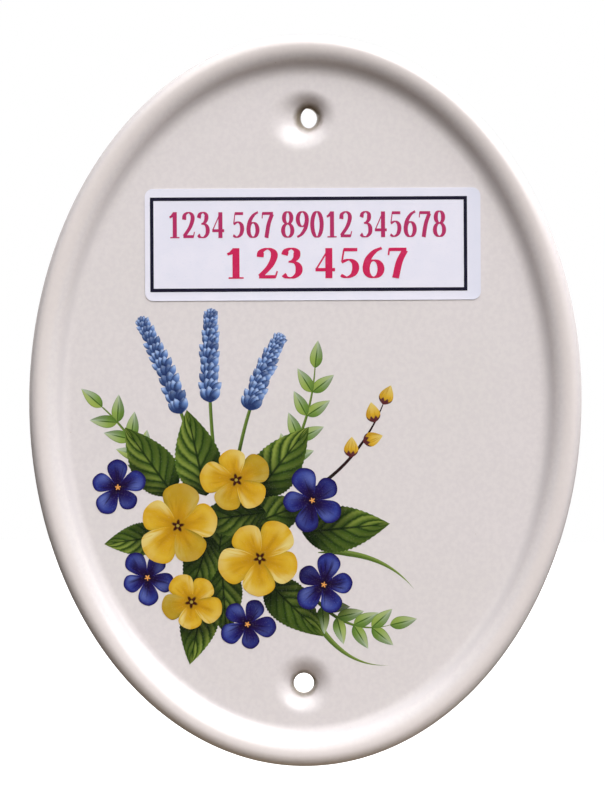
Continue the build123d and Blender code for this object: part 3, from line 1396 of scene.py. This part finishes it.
YELLOW_FLOWERS = [
    Bloom(-11.0, 4.5, 11.0, 12, 150),
    Bloom(9.5, -3.5, 10.8, -20, -60),
    Bloom(3.5, 16.0, 9.2, 30, 90),
    Bloom(-7.5, -14.5, 8.0, 50, 250),
]
BLUE_FLOWERS = [
    Bloom(-26.0, 14.0, 7.6, 20, 140),
    Bloom(-18.5, -8.5, 7.4, -15, 215),
    Bloom(22.5, 11.0, 8.6, 40, 20),
    Bloom(25.5, -10.0, 8.2, 5, -25),
    Bloom(6.5, -20.0, 7.4, 65, -80),
]
BROAD_LEAVES = [
    Leaf(-12.0, 12.0, 126, 21.0),
    Leaf(-4.0, 12.0, 103, 22.0),
    Leaf(8.0, 12.0, 52, 22.0),
    Leaf(20.0, 3.0, 6, 22.0),
    Leaf(5.0, 4.0, 22, 19.0),
    Leaf(-1.0, -4.0, 82, 17.0),
    Leaf(11.0, -9.0, -44, 20.0),
    Leaf(0.0, -5.0, -86, 18.0),
    Leaf(-4.0, -12.0, -102, 18.5),
    Leaf(-14.0, 2.0, 188, 15.5),
    Leaf(-3.0, 2.0, -108, 17.0),
    Leaf(11.0, 8.0, 188, 19.0),
]
LIGHT_SPRIGS = [
    Stem((-15.0, 12.0), (-21.0, 26.0), (-30.0, 34.0)),
    Stem((13.0, 16.0), (22.0, 28.0), (23.0, 44.0)),
    Stem((22.0, -12.0), (31.0, -23.0), (42.0, -20.0)),
]
BLUE_SPIKES = [
    Stem((-6.0, 18.0), (-11.0, 38.0), (-20.0, 55.0)),
    Stem((-2.0, 22.0), (-4.0, 40.0), (-3.0, 57.0)),
    Stem((4.0, 22.0), (7.0, 38.0), (14.0, 51.0)),
]
BUD_TWIG = Stem((20.0, 12.0), (34.0, 20.0), (40.0, 35.0))
BUD_SHARES = [(0.5, 1), (0.66, -1), (0.84, 1), (1.0, 0)]
GRASS_BLADES = [
    Stem((24.0, -2.0), (40.0, -1.0), (48.0, -11.0), 1.0, 0.15),
    Stem((20.0, -12.0), (28.0, -31.0), (42.0, -30.0), 1.0, 0.15),
]


class Level(float, Enum):
    """Height of each colour's lowest print above the glaze, in millimetres, from the first one fired."""

    STEMS = 0.006
    LEAFLETS = 0.014
    FLORETS = 0.020
    BUDS = 0.026
    BROAD_LEAVES = 0.028
    BLUE_FLOWERS = 0.041
    YELLOW_FLOWERS = 0.057
    EYES = 0.071


class StemTone(float, Enum):
    """Tones of what is printed with the stems, from the dark twig to the fresh grass."""

    TWIG = 0.0
    STEM = 0.6
    GRASS = 0.9


class EyeTone(float, Enum):
    """Tones that tell the middles of the two kinds of flower apart."""

    YELLOW = 0.0
    BLUE = 1.0


@dataclass
class Posy:
    """The posy of spring flowers fired on the field, drawn as its solids are. Millimetres and degrees.

    Each stem, leaf, bloom and petal lies a step higher than the one before. The hair keeps copies of one
    level apart.
    """

    petals: int = 5
    petal_belly: float = 0.9
    leaf_belly: float = 0.25
    yellow_share: float = 0.86
    blue_share: float = 0.72
    nod_share: float = 0.16
    yellow_eye: float = 1.9
    blue_eye: float = 1.1
    broad_share: float = 0.54
    leaflet_pairs: int = 4
    leaflet_length: float = 7.0
    leaflet_width: float = 3.2
    leaflet_spread: float = 42.0
    spike_share: float = 0.62
    floret_length: float = 4.2
    floret_width: float = 2.1
    floret_belly: float = 0.6
    floret_spread: float = 40.0
    floret_rows: int = 14
    floret_columns: int = 5
    bud_length: float = 5.2
    bud_width: float = 3.6
    bud_spread: float = 38.0
    stem_width: float = 0.9
    grass_width: float = 1.6
    shade_from: float = 0.8
    shade_to: float = 1.3
    shade_fall: Place = (0.06, -0.14)
    stem_step: float = 0.0005
    leaf_step: float = 0.001
    bloom_step: float = 0.003
    petal_step: float = 0.00055
    hair: float = 0.0001
    seed: int = 11

    def __post_init__(self) -> None:
        """Fits the drawing to the solids, by the middles of the outermost flowers."""
        low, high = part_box("transfer_flower_eyes")
        self.ground = high.y
        drawn_left = min(f.x for f in BLUE_FLOWERS) - self.blue_eye
        drawn_right = max(f.x for f in BLUE_FLOWERS) + self.blue_eye
        # An eye's solid has two corners for each petal, the first one on the right.
        corner_height = math.sin(math.tau / self.petals)
        drawn_low = min(f.z for f in BLUE_FLOWERS) - self.blue_eye * corner_height
        self.scale = (high.x - low.x) / (drawn_right - drawn_left)
        self.corner = Vector((low.x - self.scale * drawn_left, low.z - self.scale * drawn_low))
        self.chance = random.Random(self.seed)
        self.along = StemPlacing()
        self.around = RingPlacing()

    def print_place(self, point: Vector) -> Vector:
        """A point of the drawing as it is printed on the plaque, in metres."""
        return self.corner + point * self.scale

    def stand(self, place: Place, level: float) -> Vector:
        """A place of the drawing as a point in the frame, at a level above the glaze."""
        flat = self.print_place(Vector(place))
        return Vector((flat.x, self.ground - level * MM, flat.y))

    def printed(self, rows: Rows, x: float = 0.0, z: float = 0.0, heading: float = 0.0) -> Rows:
        """Prints a shape in its place.

        Args:
            rows: The shape along +X.
            x: Where its foot is.
            z: Where its foot is.
            heading: Which way it points.

        Returns:
            The shape's rows on the plaque.
        """
        foot = Vector((x, z))
        return [[self.print_place(foot + turned(point, heading)) for point in row] for row in rows]

    def template(self, rows: Rows, level: float) -> bpy.types.Object:
        """A shape at the origin for the trees to copy, as thick as its level."""
        film = PrintedFilm(0.0)
        film.add([[point * self.scale for point in row] for row in rows], level * MM)
        return film.build("template", bpy.data.materials.new("template"))

    def ends(self, stem: Stem) -> dict[str, Vector]:
        """A stem's foot, bend and tip as inputs of the tree that follows it."""
        places = {"Foot": stem.foot, "Bend": stem.bend, "Tip": stem.tip}
        return {label: self.stand(place, 0.0) for label, place in places.items()}

    def grown(
        self,
        name: str,
        finish: Finish,
        tree: PlacingTree,
        shape: bpy.types.Object,
        uses: list[dict[str, Any]],
    ) -> bpy.types.Object:
        """Sets copies of a shape with a tree and makes them one plain mesh.

        Args:
            name: The piece's name.
            finish: What it is dressed in.
            tree: The tree that places the copies.
            shape: The shape to copy, which isn't kept.
            uses: The tree's inputs for each stem or flower.

        Returns:
            The piece, with no modifier left.
        """
        holder = PrintedFilm(0.0).build(name, finish.material())
        for k, inputs in enumerate(uses):
            shared = {"Shape": shape, "Finish": holder.data.materials[0], "Seed": self.seed + k}
            tree.use_on(holder, {**shared, **inputs})
        seen = holder.evaluated_get(bpy.context.evaluated_depsgraph_get())
        mesh = bpy.data.meshes.new_from_object(seen)
        holder.modifiers.clear()
        holder.data = mesh
        bpy.data.objects.remove(shape)
        return holder

    def shaded(self, piece: bpy.types.Object, above: list[Bloom]) -> bpy.types.Object:
        """Paints a soft shade on a piece where flowers lie over it.

        Args:
            piece: The piece.
            above: The flowers that lie over it.

        Returns:
            The piece, with its shade as an attribute.
        """
        discs = []
        for bloom in above:
            middle = Vector((bloom.x, bloom.z)) + Vector(self.shade_fall) * bloom.radius
            discs.append((self.print_place(middle), bloom.radius * self.scale))
        shades = []
        for vertex in piece.data.vertices:
            spot = vertex.co.xz
            nearest = min((spot - middle).length / radius for middle, radius in discs)
            away = (nearest - self.shade_from) / (self.shade_to - self.shade_from)
            shades.append(1 - min(max(away, 0.0), 1.0))
        piece.data.attributes.new(SHADE, "FLOAT", "POINT").data.foreach_set("value", shades)
        return piece

    def build(self) -> None:
        """Builds every colour of the posy, from the lowest to the top one."""
        flowers = BLUE_FLOWERS + YELLOW_FLOWERS
        settle(self.shaded(self.stems(), flowers), "stem_green", "transfer_stems")
        settle(self.shaded(self.light_leaves(), flowers), "light_leaf_green", "transfer_light_leaves")
        settle(self.spikes(), "spike_blue", "transfer_blue_spikes")
        settle(self.buds(), "bud_yellow", "transfer_yellow_buds")
        settle(self.shaded(self.leaves(), flowers), "broad_leaf_green", "transfer_broad_leaves")
        blue, yellow = BluePetalFinish("blue_petal"), YellowPetalFinish("yellow_petal")
        piece = self.flowers("posy_blue_flowers", blue, BLUE_FLOWERS, self.blue_share, Level.BLUE_FLOWERS)
        settle(self.shaded(piece, YELLOW_FLOWERS), "flower_blue", "transfer_blue_flowers")
        piece = self.flowers(
            "posy_yellow_flowers", yellow, YELLOW_FLOWERS, self.yellow_share, Level.YELLOW_FLOWERS
        )
        settle(piece, "flower_yellow", "transfer_yellow_flowers")
        settle(self.eyes(), "flower_eye", "transfer_flower_eyes")

    def stems(self) -> bpy.types.Object:
        """Stems, twig and blades of grass."""
        film = PrintedFilm(self.ground)
        drawn = [(blade, self.grass_width, StemTone.GRASS) for blade in GRASS_BLADES]
        drawn += [(stem, self.stem_width, StemTone.STEM) for stem in [*LIGHT_SPRIGS, *BLUE_SPIKES]]
        drawn.append((BUD_TWIG, self.stem_width, StemTone.TWIG))
        for k, (stem, width, tone) in enumerate(drawn):
            level = (Level.STEMS + k * self.stem_step) * MM
            film.add(self.printed(stem.rows(width, steps=24)), level, tone.value)
        return film.build("posy_stems", StemFinish("stem").material())

    def light_leaves(self) -> bpy.types.Object:
        """Paired leaflets up each sprig and one at its tip."""
        rows = leaf_rows(self.leaflet_length, self.leaflet_width, self.leaf_belly, steps=12, columns=6)
        shape = self.template(rows, Level.LEAFLETS)
        shares = [(k + 1) / (self.leaflet_pairs + 1) for k in (0, self.leaflet_pairs - 1)]
        spread = math.radians(self.leaflet_spread)
        pairs = {"Rows": self.leaflet_pairs, "Columns": 2, "First": shares[0], "Last": shares[1]}
        top = {"Rows": 1, "Columns": 1, "First": 1.0, "Last": 1.0, "Spread": 0.0}
        same = {"Crowding": 1.0, "Tip Size": 1.0, "Jitter": 0.05, "Lift": self.hair * MM}
        uses = []
        for ends in map(self.ends, LIGHT_SPRIGS):
            uses += [{**ends, **pairs, "Spread": spread, **same}, {**ends, **top, **same}]
        return self.grown("posy_light_leaves", LeafletFinish("light_leaf"), self.along, shape, uses)

    def spikes(self) -> bpy.types.Object:
        """Whorls of florets that draw together towards the tip of each spike."""
        rows = leaf_rows(self.floret_length, self.floret_width, self.floret_belly, steps=6, columns=4)
        shape = self.template(rows, Level.FLORETS)
        whorls = {"Rows": self.floret_rows, "Columns": self.floret_columns}
        stretch = {"First": 1 - self.spike_share, "Last": 1.0}
        habit = {"Crowding": 1.3, "Tip Size": 0.45, "Spread": math.radians(self.floret_spread)}
        loose = {"Jitter": 0.16, "Lift": -self.hair * MM}
        uses = [{**self.ends(stem), **whorls, **stretch, **habit, **loose} for stem in BLUE_SPIKES]
        return self.grown("posy_blue_spikes", FloretFinish("floret"), self.along, shape, uses)

    def buds(self) -> bpy.types.Object:
        """Plump buds to either side of the twig and at its tip."""
        rows = leaf_rows(self.bud_length, self.bud_width, self.leaf_belly, steps=14, columns=8)
        shape = self.template(rows, Level.BUDS)
        one = {"Rows": 1, "Columns": 1, "Last": 1.0, "Crowding": 1.0, "Tip Size": 1.0}
        uses = [
            {**self.ends(BUD_TWIG), **one, "First": share, "Spread": -side * math.radians(self.bud_spread)}
            for share, side in BUD_SHARES
        ]
        return self.grown("posy_yellow_buds", BudFinish("bud"), self.along, shape, uses)

    def leaves(self) -> bpy.types.Object:
        """Broad leaves with toothed edges."""
        film = PrintedFilm(self.ground)
        for k, leaf in enumerate(BROAD_LEAVES):
            width = self.broad_share * leaf.length
            rows = leaf_rows(leaf.length, width, self.leaf_belly, steps=46, columns=14, teeth=0.05)
            level = (Level.BROAD_LEAVES + k * self.leaf_step) * MM
            film.add(self.printed(rows, leaf.x, leaf.z, leaf.heading), level, self.chance.random())
        return film.build("posy_broad_leaves", BroadLeafFinish("broad_leaf").material())

    def flowers(
        self, name: str, finish: Finish, blooms: list[Bloom], share: float, level: Level
    ) -> bpy.types.Object:
        """The petals of all flowers of one colour.

        Args:
            name: The piece's name.
            finish: What it is dressed in.
            blooms: The flowers, from the lowest.
            share: Width of a petal, of its length.
            level: Height of the lowest print.

        Returns:
            The piece.
        """
        rows = petal_rows(1.0, share, self.petal_belly, steps=10, columns=32, wave=0.012)
        uses = []
        for k, bloom in enumerate(blooms):
            uses.append({
                "Middle": self.stand((bloom.x, bloom.z), k * self.bloom_step),
                "Copies": self.petals,
                "Size": bloom.radius,
                "Turn": math.radians(bloom.turn),
                "Nod": math.radians(bloom.nod),
                "Nod Share": self.nod_share,
                "Lift": self.petal_step * MM,
            })
        return self.grown(name, finish, self.around, self.template(rows, level), uses)

    def eyes(self) -> bpy.types.Object:
        """Middles of the flowers."""
        film = PrintedFilm(self.ground)
        eyes = [(bloom, self.blue_eye, EyeTone.BLUE) for bloom in BLUE_FLOWERS]
        eyes += [(bloom, self.yellow_eye, EyeTone.YELLOW) for bloom in YELLOW_FLOWERS]
        for bloom, radius, tone in eyes:
            disc = disc_rows(radius, steps=24, columns=12)
            film.add(self.printed(disc, bloom.x, bloom.z, bloom.turn), Level.EYES * MM, tone.value)
        return film.build("posy_flower_eyes", EyeFinish("flower_eye").material())


FIGURE_WIDTH = 0.64


class Nib(Enum):
    """Pens that the label's figures are drawn with: width across a flat pull and across an upright one."""

    BROAD = (0.05, 0.17)
    BAR = (0.11, 0.11)
    HAIR = (0.05, 0.05)


@dataclass(frozen=True)
class Pull:
    """One pull of a pen, through points in shares of the figure's height.

    Steps are those between two points, and the swell is how late a turning pull widens.
    """

    nib: Nib
    points: tuple[Place, ...]
    closed: bool = False
    steps: int = 8
    swell: float = 1.5

    def half_turned(self) -> "Pull":
        """The pull after half a turn of its figure."""
        return Pull(self.nib, tuple((FIGURE_WIDTH - x, 1 - y) for x, y in self.points), self.closed)

    def path(self) -> list[Vector]:
        """The smooth line through the points.

        Returns:
            Points along the line, close enough to look round.
        """
        places = [Vector(point) for point in self.points]
        if len(places) == 2:
            return places
        last = len(places) - 1
        line = []
        for k in range(len(places) if self.closed else last):
            if self.closed:
                a, b, c, d = (places[(k + n) % len(places)] for n in (-1, 0, 1, 2))
            else:
                a, b, c, d = (places[min(max(k + n, 0), last)] for n in (-1, 0, 1, 2))
            for t in (j / self.steps for j in range(self.steps)):
                bend = (a * -1 + b * 3 - c * 3 + d) * t**3 + (a * 2 - b * 5 + c * 4 - d) * t**2
                line.append((b * 2 + (c - a) * t + bend) / 2)
        if not self.closed:
            line.append(places[-1])
        return line

    def rows(self, weight: float) -> Rows:
        """The inked ribbon, as wide as the nib is across the way it is pulled.

        Args:
            weight: How much bolder than usual the broad nib's upright pulls are.

        Returns:
            Rows of two points, from right to left.
        """
        line = self.path()
        flat, upright = self.nib.value
        if self.nib is Nib.BROAD:
            upright *= weight
        rows = []
        for k, point in enumerate(line):
            before = line[k - 1] if self.closed or k else point
            after = line[(k + 1) % len(line)] if self.closed or k < len(line) - 1 else point
            along = (after - before).normalized()
            half = (flat + (upright - flat) * abs(along.y) ** self.swell) / 2
            across = turned(along, 90) * half
            rows.append([point - across, point + across])
        return rows


def oval(x: float, y: float, half_width: float, half_height: float, count: int = 12) -> Pull:
    """A closed pull round an oval, through a count of points."""
    turns = [math.tau * k / count for k in range(count)]
    points = tuple((x + half_width * math.cos(a), y + half_height * math.sin(a)) for a in turns)
    return Pull(Nib.BROAD, points, closed=True)


def broad(*points: Place) -> Pull:
    """An open pull of the broad pen."""
    return Pull(Nib.BROAD, points)


def bar(*points: Place) -> Pull:
    """A straight bar."""
    return Pull(Nib.BAR, points)


def hair(*points: Place) -> Pull:
    """A thin line."""
    return Pull(Nib.HAIR, points)


SIX = [
    oval(0.32, 0.30, 0.215, 0.275),
    broad((0.56, 0.975), (0.36, 0.87), (0.18, 0.65), (0.105, 0.38), (0.115, 0.24)),
]
FIGURES: dict[str, list[Pull]] = {
    "0": [oval(0.32, 0.5, 0.225, 0.475)],
    "1": [
        broad((0.34, 0.03), (0.34, 0.99)),
        broad((0.09, 0.79), (0.2, 0.84), (0.3, 0.93)),
        hair((0.12, 0.025), (0.56, 0.025)),
    ],
    "2": [
        broad(
            (0.085, 0.70), (0.12, 0.88), (0.30, 0.97), (0.46, 0.88),
            (0.49, 0.70), (0.36, 0.40), (0.08, 0.07),
        ),
        bar((0.05, 0.06), (0.53, 0.06)),
        hair((0.52, 0.03), (0.58, 0.24)),
    ],
    "3": [
        broad(
            (0.09, 0.76), (0.15, 0.91), (0.30, 0.97), (0.44, 0.88),
            (0.44, 0.70), (0.34, 0.58), (0.21, 0.54),
        ),
        broad(
            (0.21, 0.54), (0.40, 0.51), (0.505, 0.37), (0.49, 0.17),
            (0.34, 0.035), (0.16, 0.04), (0.06, 0.13),
        ),
    ],
    "4": [
        hair((0.42, 0.96), (0.05, 0.29)),
        bar((0.03, 0.28), (0.60, 0.28)),
        broad((0.42, 0.98), (0.42, 0.0)),
    ],
    "5": [
        bar((0.15, 0.925), (0.55, 0.925)),
        hair((0.16, 0.93), (0.10, 0.54)),
        broad(
            (0.09, 0.52), (0.30, 0.60), (0.46, 0.50), (0.50, 0.31),
            (0.42, 0.12), (0.24, 0.03), (0.07, 0.10),
        ),
    ],
    "6": SIX,
    "7": [
        bar((0.07, 0.925), (0.58, 0.925)),
        hair((0.08, 0.95), (0.055, 0.74)),
        broad((0.54, 0.90), (0.37, 0.52), (0.26, 0.0)),
    ],
    "8": [oval(0.32, 0.755, 0.175, 0.22), oval(0.32, 0.275, 0.22, 0.25)],
    "9": [pull.half_turned() for pull in SIX],
}


@dataclass(frozen=True)
class FigureRow:
    """A row of plain figures printed on the label, in millimetres from its middle.

    Gap and space are what follows a figure and what stands for a blank, in shares of the height.
    """

    text: str
    height: float
    width: float
    right: float
    up: float
    weight: float
    dulled: float
    gap: float = 0.06
    space: float = 0.26

    def pulls(self) -> list[tuple[Rows, bool]]:
        """Every pull of the row.

        Returns:
            Each pull's rows of points in millimetres on the label, and whether it is closed.
        """
        starts = []
        reach = 0.0
        for sign in self.text:
            starts.append(reach)
            reach += self.space if sign == " " else FIGURE_WIDTH + self.gap
        reach -= self.gap
        stretch = self.width / (reach * self.height)
        inked = []
        for sign, start in zip(self.text, starts):
            for pull in FIGURES.get(sign, []):
                drawn = pull.rows(self.weight)
                rows = [[self._spot(point, start, reach, stretch) for point in row] for row in drawn]
                inked.append((rows, pull.closed))
        return inked

    def _spot(self, point: Vector, start: float, reach: float, stretch: float) -> Vector:
        """A point of a figure as it is on the label."""
        x = (start + point.x - reach / 2) * stretch
        return Vector((self.right + x * self.height, self.up + (point.y - 0.5) * self.height))


@dataclass
class NumberLabel:
    """The stuck-on paper label with its border and rows of figures. Millimetres and degrees.

    The curl along an edge is even at mid height and leans towards the lower edge, by shares of its most.
    """

    tilt: float = 0.6
    corner: float = 2.0
    line: float = 0.85
    curl: float = 0.05
    curl_reach: float = 1.9
    curl_even: float = 0.55
    curl_lean: float = 0.45
    ink: float = 0.03
    ink_step: float = 0.0002
    corner_steps: int = 8
    steps: int = 40
    columns: int = 32
    rows: tuple[FigureRow, ...] = (
        FigureRow(
            "1234 567 89012 345678", height=6.5, width=68.6, right=-1.4, up=4.9, weight=1.15, dulled=0.8
        ),
        FigureRow("1 23 4567", height=7.6, width=45.4, right=0.9, up=-4.6, weight=1.2, dulled=0.0),
    )

    def __post_init__(self) -> None:
        """Reads the label's size and place from its solids."""
        low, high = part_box("paper_label")
        self.ground, self.face = high.y, low.y
        self.middle, self.width, self.height = self._unturned("paper_label", self.corner)
        self.border_middle, self.border_width, self.border_height = self._unturned("label_border", corner=0.0)

    def _unturned(self, node: str, corner: float) -> tuple[Vector, float, float]:
        """Works out a tilted rectangle from its upright box.

        Args:
            node: The solid.
            corner: Radius of its corners.

        Returns:
            Its middle in metres, and its width and height in millimetres.
        """
        low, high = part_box(node)
        cos, sin = math.cos(math.radians(self.tilt)), math.sin(math.radians(self.tilt))
        wide = (high.x - low.x) / MM - 2 * corner
        tall = (high.z - low.z) / MM - 2 * corner
        square = cos * cos - sin * sin
        width = (wide * cos - tall * sin) / square + 2 * corner
        height = (tall * cos - wide * sin) / square + 2 * corner
        return Vector((low.x + high.x, low.z + high.z)) / 2, width, height

    def stuck(self, rows: Rows, middle: Vector) -> Rows:
        """Lays rows drawn in millimetres about a middle on the plaque, tilted as the label is."""
        return [[middle + turned(point, self.tilt) * MM for point in row] for row in rows]

    def build(self) -> None:
        """Builds paper, border and figures."""
        settle(self.paper(), "label_paper", "paper_label")
        settle(self.border(), "label_ink", "label_border")
        settle(self.figures(), "label_ink")

    def paper(self) -> bpy.types.Object:
        """A sheet with round corners whose edge has come up a little all round."""
        film = PrintedFilm(self.ground)
        half, top, radius = self.width / 2, self.height / 2, self.corner
        turns = [math.radians(90 * k / self.corner_steps) for k in range(self.corner_steps + 1)]
        bends = [(radius * (1 - math.cos(a)), top - radius + radius * math.sin(a)) for a in turns]
        left = [(inset - half, rise) for inset, rise in bends]
        inner = [(half - radius) * (2 * k / self.steps - 1) for k in range(1, self.steps)]
        sides = [*left, *((x, top) for x in inner), *((-x, rise) for x, rise in reversed(left))]
        shares = [math.sin(math.pi / 2 * (2 * k / self.columns - 1)) for k in range(self.columns + 1)]
        rows = [[Vector((x, rise * share)) for share in shares] for x, rise in sides]
        film.add(self.stuck(rows, self.middle), self.ground - self.face, lift=self._lift)
        return film.build("number_label_paper", PaperFinish("label_paper").material())

    def _lift(self, point: Vector) -> float:
        """How far the paper has come off the glaze at a point.

        Args:
            point: A point of the paper on the plaque, in metres.

        Returns:
            The height in metres: most at the lower edge and none inside the border.
        """
        spot = turned((point - self.middle) / MM, -self.tilt)
        sides = [self.width / 2 - abs(spot.x), self.height / 2 - abs(spot.y)]
        close = max(0.0, 1 - min(sides) / self.curl_reach)
        low = self.curl_even - self.curl_lean * spot.y / (self.height / 2)
        return self.curl * low * close**2 * MM

    def border(self) -> bpy.types.Object:
        """The line printed round the label."""
        film = PrintedFilm(self.face)
        corners = [Vector((x, y)) for x, y in ((-0.5, -0.5), (0.5, -0.5), (0.5, 0.5), (-0.5, 0.5))]
        outer = [Vector((c.x * self.border_width, c.y * self.border_height)) for c in corners]
        inner = [p - Vector((math.copysign(self.line, p.x), math.copysign(self.line, p.y))) for p in outer]
        rows = [[out, within] for out, within in zip(outer, inner)]
        film.add(self.stuck(rows, self.border_middle), self.ink * MM, closed=True)
        finish = InkFinish("border_ink", ink=srgb(15, 12, 36), worn=srgb(40, 36, 66))
        return film.build("number_label_border", finish.material())

    def figures(self) -> bpy.types.Object:
        """The rows of figures, pull by pull."""
        film = PrintedFilm(self.face)
        inked = [(*pull, row.dulled) for row in self.rows for pull in row.pulls()]
        for k, (rows, closed, dulled) in enumerate(inked):
            film.add(self.stuck(rows, self.middle), (self.ink + k * self.ink_step) * MM, dulled, closed)
        finish = InkFinish("figure_ink", ink=srgb(198, 34, 84), worn=srgb(208, 64, 108))
        return film.build("number_label_figures", finish.material())


@dataclass(frozen=True)
class PhotoView:
    """The camera of the photograph: straight on, with the plaque's middle a little off the frame's."""

    frame_width: int = 605
    frame_height: int = 800
    middle_x: float = 305.4
    middle_y: float = 400.5
    mm_per_pixel: float = 0.2462
    distance: float = 0.85
    widest_depth: float = 7.6 * MM
    roll: float = -0.3
    sensor: float = 36.0

    def build(self) -> None:
        """Makes the camera and hands it to the scene."""
        data = bpy.data.cameras.new("photo_view")
        data.sensor_width = self.sensor
        reach = self.distance - self.widest_depth
        data.lens = self.sensor * reach / (self.frame_height * self.mm_per_pixel * MM)
        camera = bpy.data.objects.new("photo_view", data)
        right = (self.frame_width / 2 - self.middle_x) * self.mm_per_pixel * MM
        up = (self.middle_y - self.frame_height / 2) * self.mm_per_pixel * MM
        camera.location = (right, -self.distance, up)
        camera.rotation_euler = (math.pi / 2, math.radians(self.roll), 0.0)
        bpy.context.scene.collection.objects.link(camera)
        bpy.context.scene.camera = camera


@dataclass(frozen=True)
class Lamp:
    """A soft box that shines on the plaque's middle."""

    name: str
    towards: tuple[float, float, float]
    distance: float
    width: float
    height: float
    power: float

    def build(self) -> None:
        """Makes the lamp and hangs it where it shines from."""
        data = bpy.data.lights.new(self.name, "AREA")
        data.shape = "RECTANGLE"
        data.size = self.width
        data.size_y = self.height
        data.energy = self.power
        lamp = bpy.data.objects.new(self.name, data)
        towards = Vector(self.towards).normalized()
        lamp.location = towards * self.distance
        lamp.rotation_euler = towards.to_track_quat("Z", "Y").to_euler()
        lamp.visible_camera = False
        bpy.context.scene.collection.objects.link(lamp)


@dataclass(frozen=True)
class Studio:
    """A pale floor, an even white surround and soft light from the upper right and from overhead."""

    floor_gap: float = 0.07
    floor_half: float = 3.0
    fill: float = 0.1
    wall: float = 0.8
    room: Colour = (1.0, 0.95, 0.93, 1.0)
    plain: Colour = (1.0, 1.0, 1.0, 1.0)
    pale: Colour = (0.57, 0.57, 0.57, 1.0)
    dim: Colour = (0.045, 0.034, 0.025, 1.0)
    near: Colour = (0.2, 0.16, 0.115, 1.0)
    wall_reach: Place = (0.25, 0.7)
    near_reach: Place = (0.06, 0.2)
    glow_reach: Place = (0.25, 0.5)
    lamps: tuple[Lamp, ...] = (
        Lamp("key", towards=(0.6, -1.0, 1.15), distance=3.9, width=2.9, height=3.9, power=151.0),
        Lamp("overhead", towards=(0.25, -0.3, 1.0), distance=2.0, width=5.5, height=3.7, power=119.5),
    )

    def build(self, lowest: float) -> None:
        """Builds surround, lamps and floor.

        Args:
            lowest: Z of the object's lowest point.
        """
        bpy.context.scene.view_settings.view_transform = "Standard"
        self.surround()
        for lamp in self.lamps:
            lamp.build()
        self.floor(lowest - self.floor_gap)

    def surround(self) -> None:
        """White where the camera looks, dim and warm all round, with a pale wall behind the plaque."""
        world = bpy.data.worlds.new("studio")
        world.use_nodes = True
        bpy.context.scene.world = world
        graph = Graph(world.node_tree)
        ray = graph.node("ShaderNodeLightPath", {}, {})
        seen = Term(graph, ray.outputs["Is Camera Ray"]) + Term(graph, ray.outputs["Is Transmission Ray"])
        back = graph.split(graph.term("ShaderNodeTexCoord", {}, {}, "Generated"))[1]
        around = self.fill + back.smooth(*self.wall_reach) * self.wall
        sockets = {
            "Color": graph.mix(seen, self.room, self.plain),
            "Strength": seen + (1.0 - seen) * around,
        }
        surround = graph.term("ShaderNodeBackground", {}, sockets)
        graph.node("ShaderNodeOutputWorld", {}, {"Surface": surround})

    def floor(self, height: float) -> None:
        """A pale floor that keeps the shadow, glows white far off and sends little light back up.

        Args:
            height: Z of the floor.
        """
        half = self.floor_half
        mesh = bpy.data.meshes.new("floor")
        corners = [(-half, -half, height), (half, -half, height), (half, half, height), (-half, half, height)]
        mesh.from_pydata(corners, [], [(0, 1, 2, 3)])
        material = bpy.data.materials.new("floor")
        material.use_nodes = True
        graph = Graph(material.node_tree)
        seen = graph.term("ShaderNodeLightPath", {}, {}, "Is Camera Ray")
        x, y, _ = graph.split(graph.place())
        away = (x * x + y * y) ** 0.5
        far = away.smooth(*self.glow_reach)
        bounce = graph.mix(away.smooth(*self.near_reach), self.near, self.dim)
        matt = graph.term("ShaderNodeBsdfDiffuse", {}, {0: graph.mix(seen, bounce, self.pale)})
        glow = graph.term("ShaderNodeEmission", {}, {"Strength": seen * far})
        both = graph.term("ShaderNodeAddShader", {}, {0: matt, 1: glow})
        graph.node("ShaderNodeOutputMaterial", {}, {"Surface": both})
        mesh.materials.append(material)
        floor = bpy.data.objects.new("floor", mesh)
        bpy.context.scene.collection.objects.link(floor)
        floor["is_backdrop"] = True


def main() -> None:
    """Builds the plaque's looks round its solids."""
    logging.basicConfig(level=logging.INFO, format="%(name)s: %(message)s")
    solid_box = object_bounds()
    Plate().build()
    Posy().build()
    NumberLabel().build()
    Studio().build(solid_box[0][2])
    PhotoView().build()


if __name__ == "__main__":
    main()
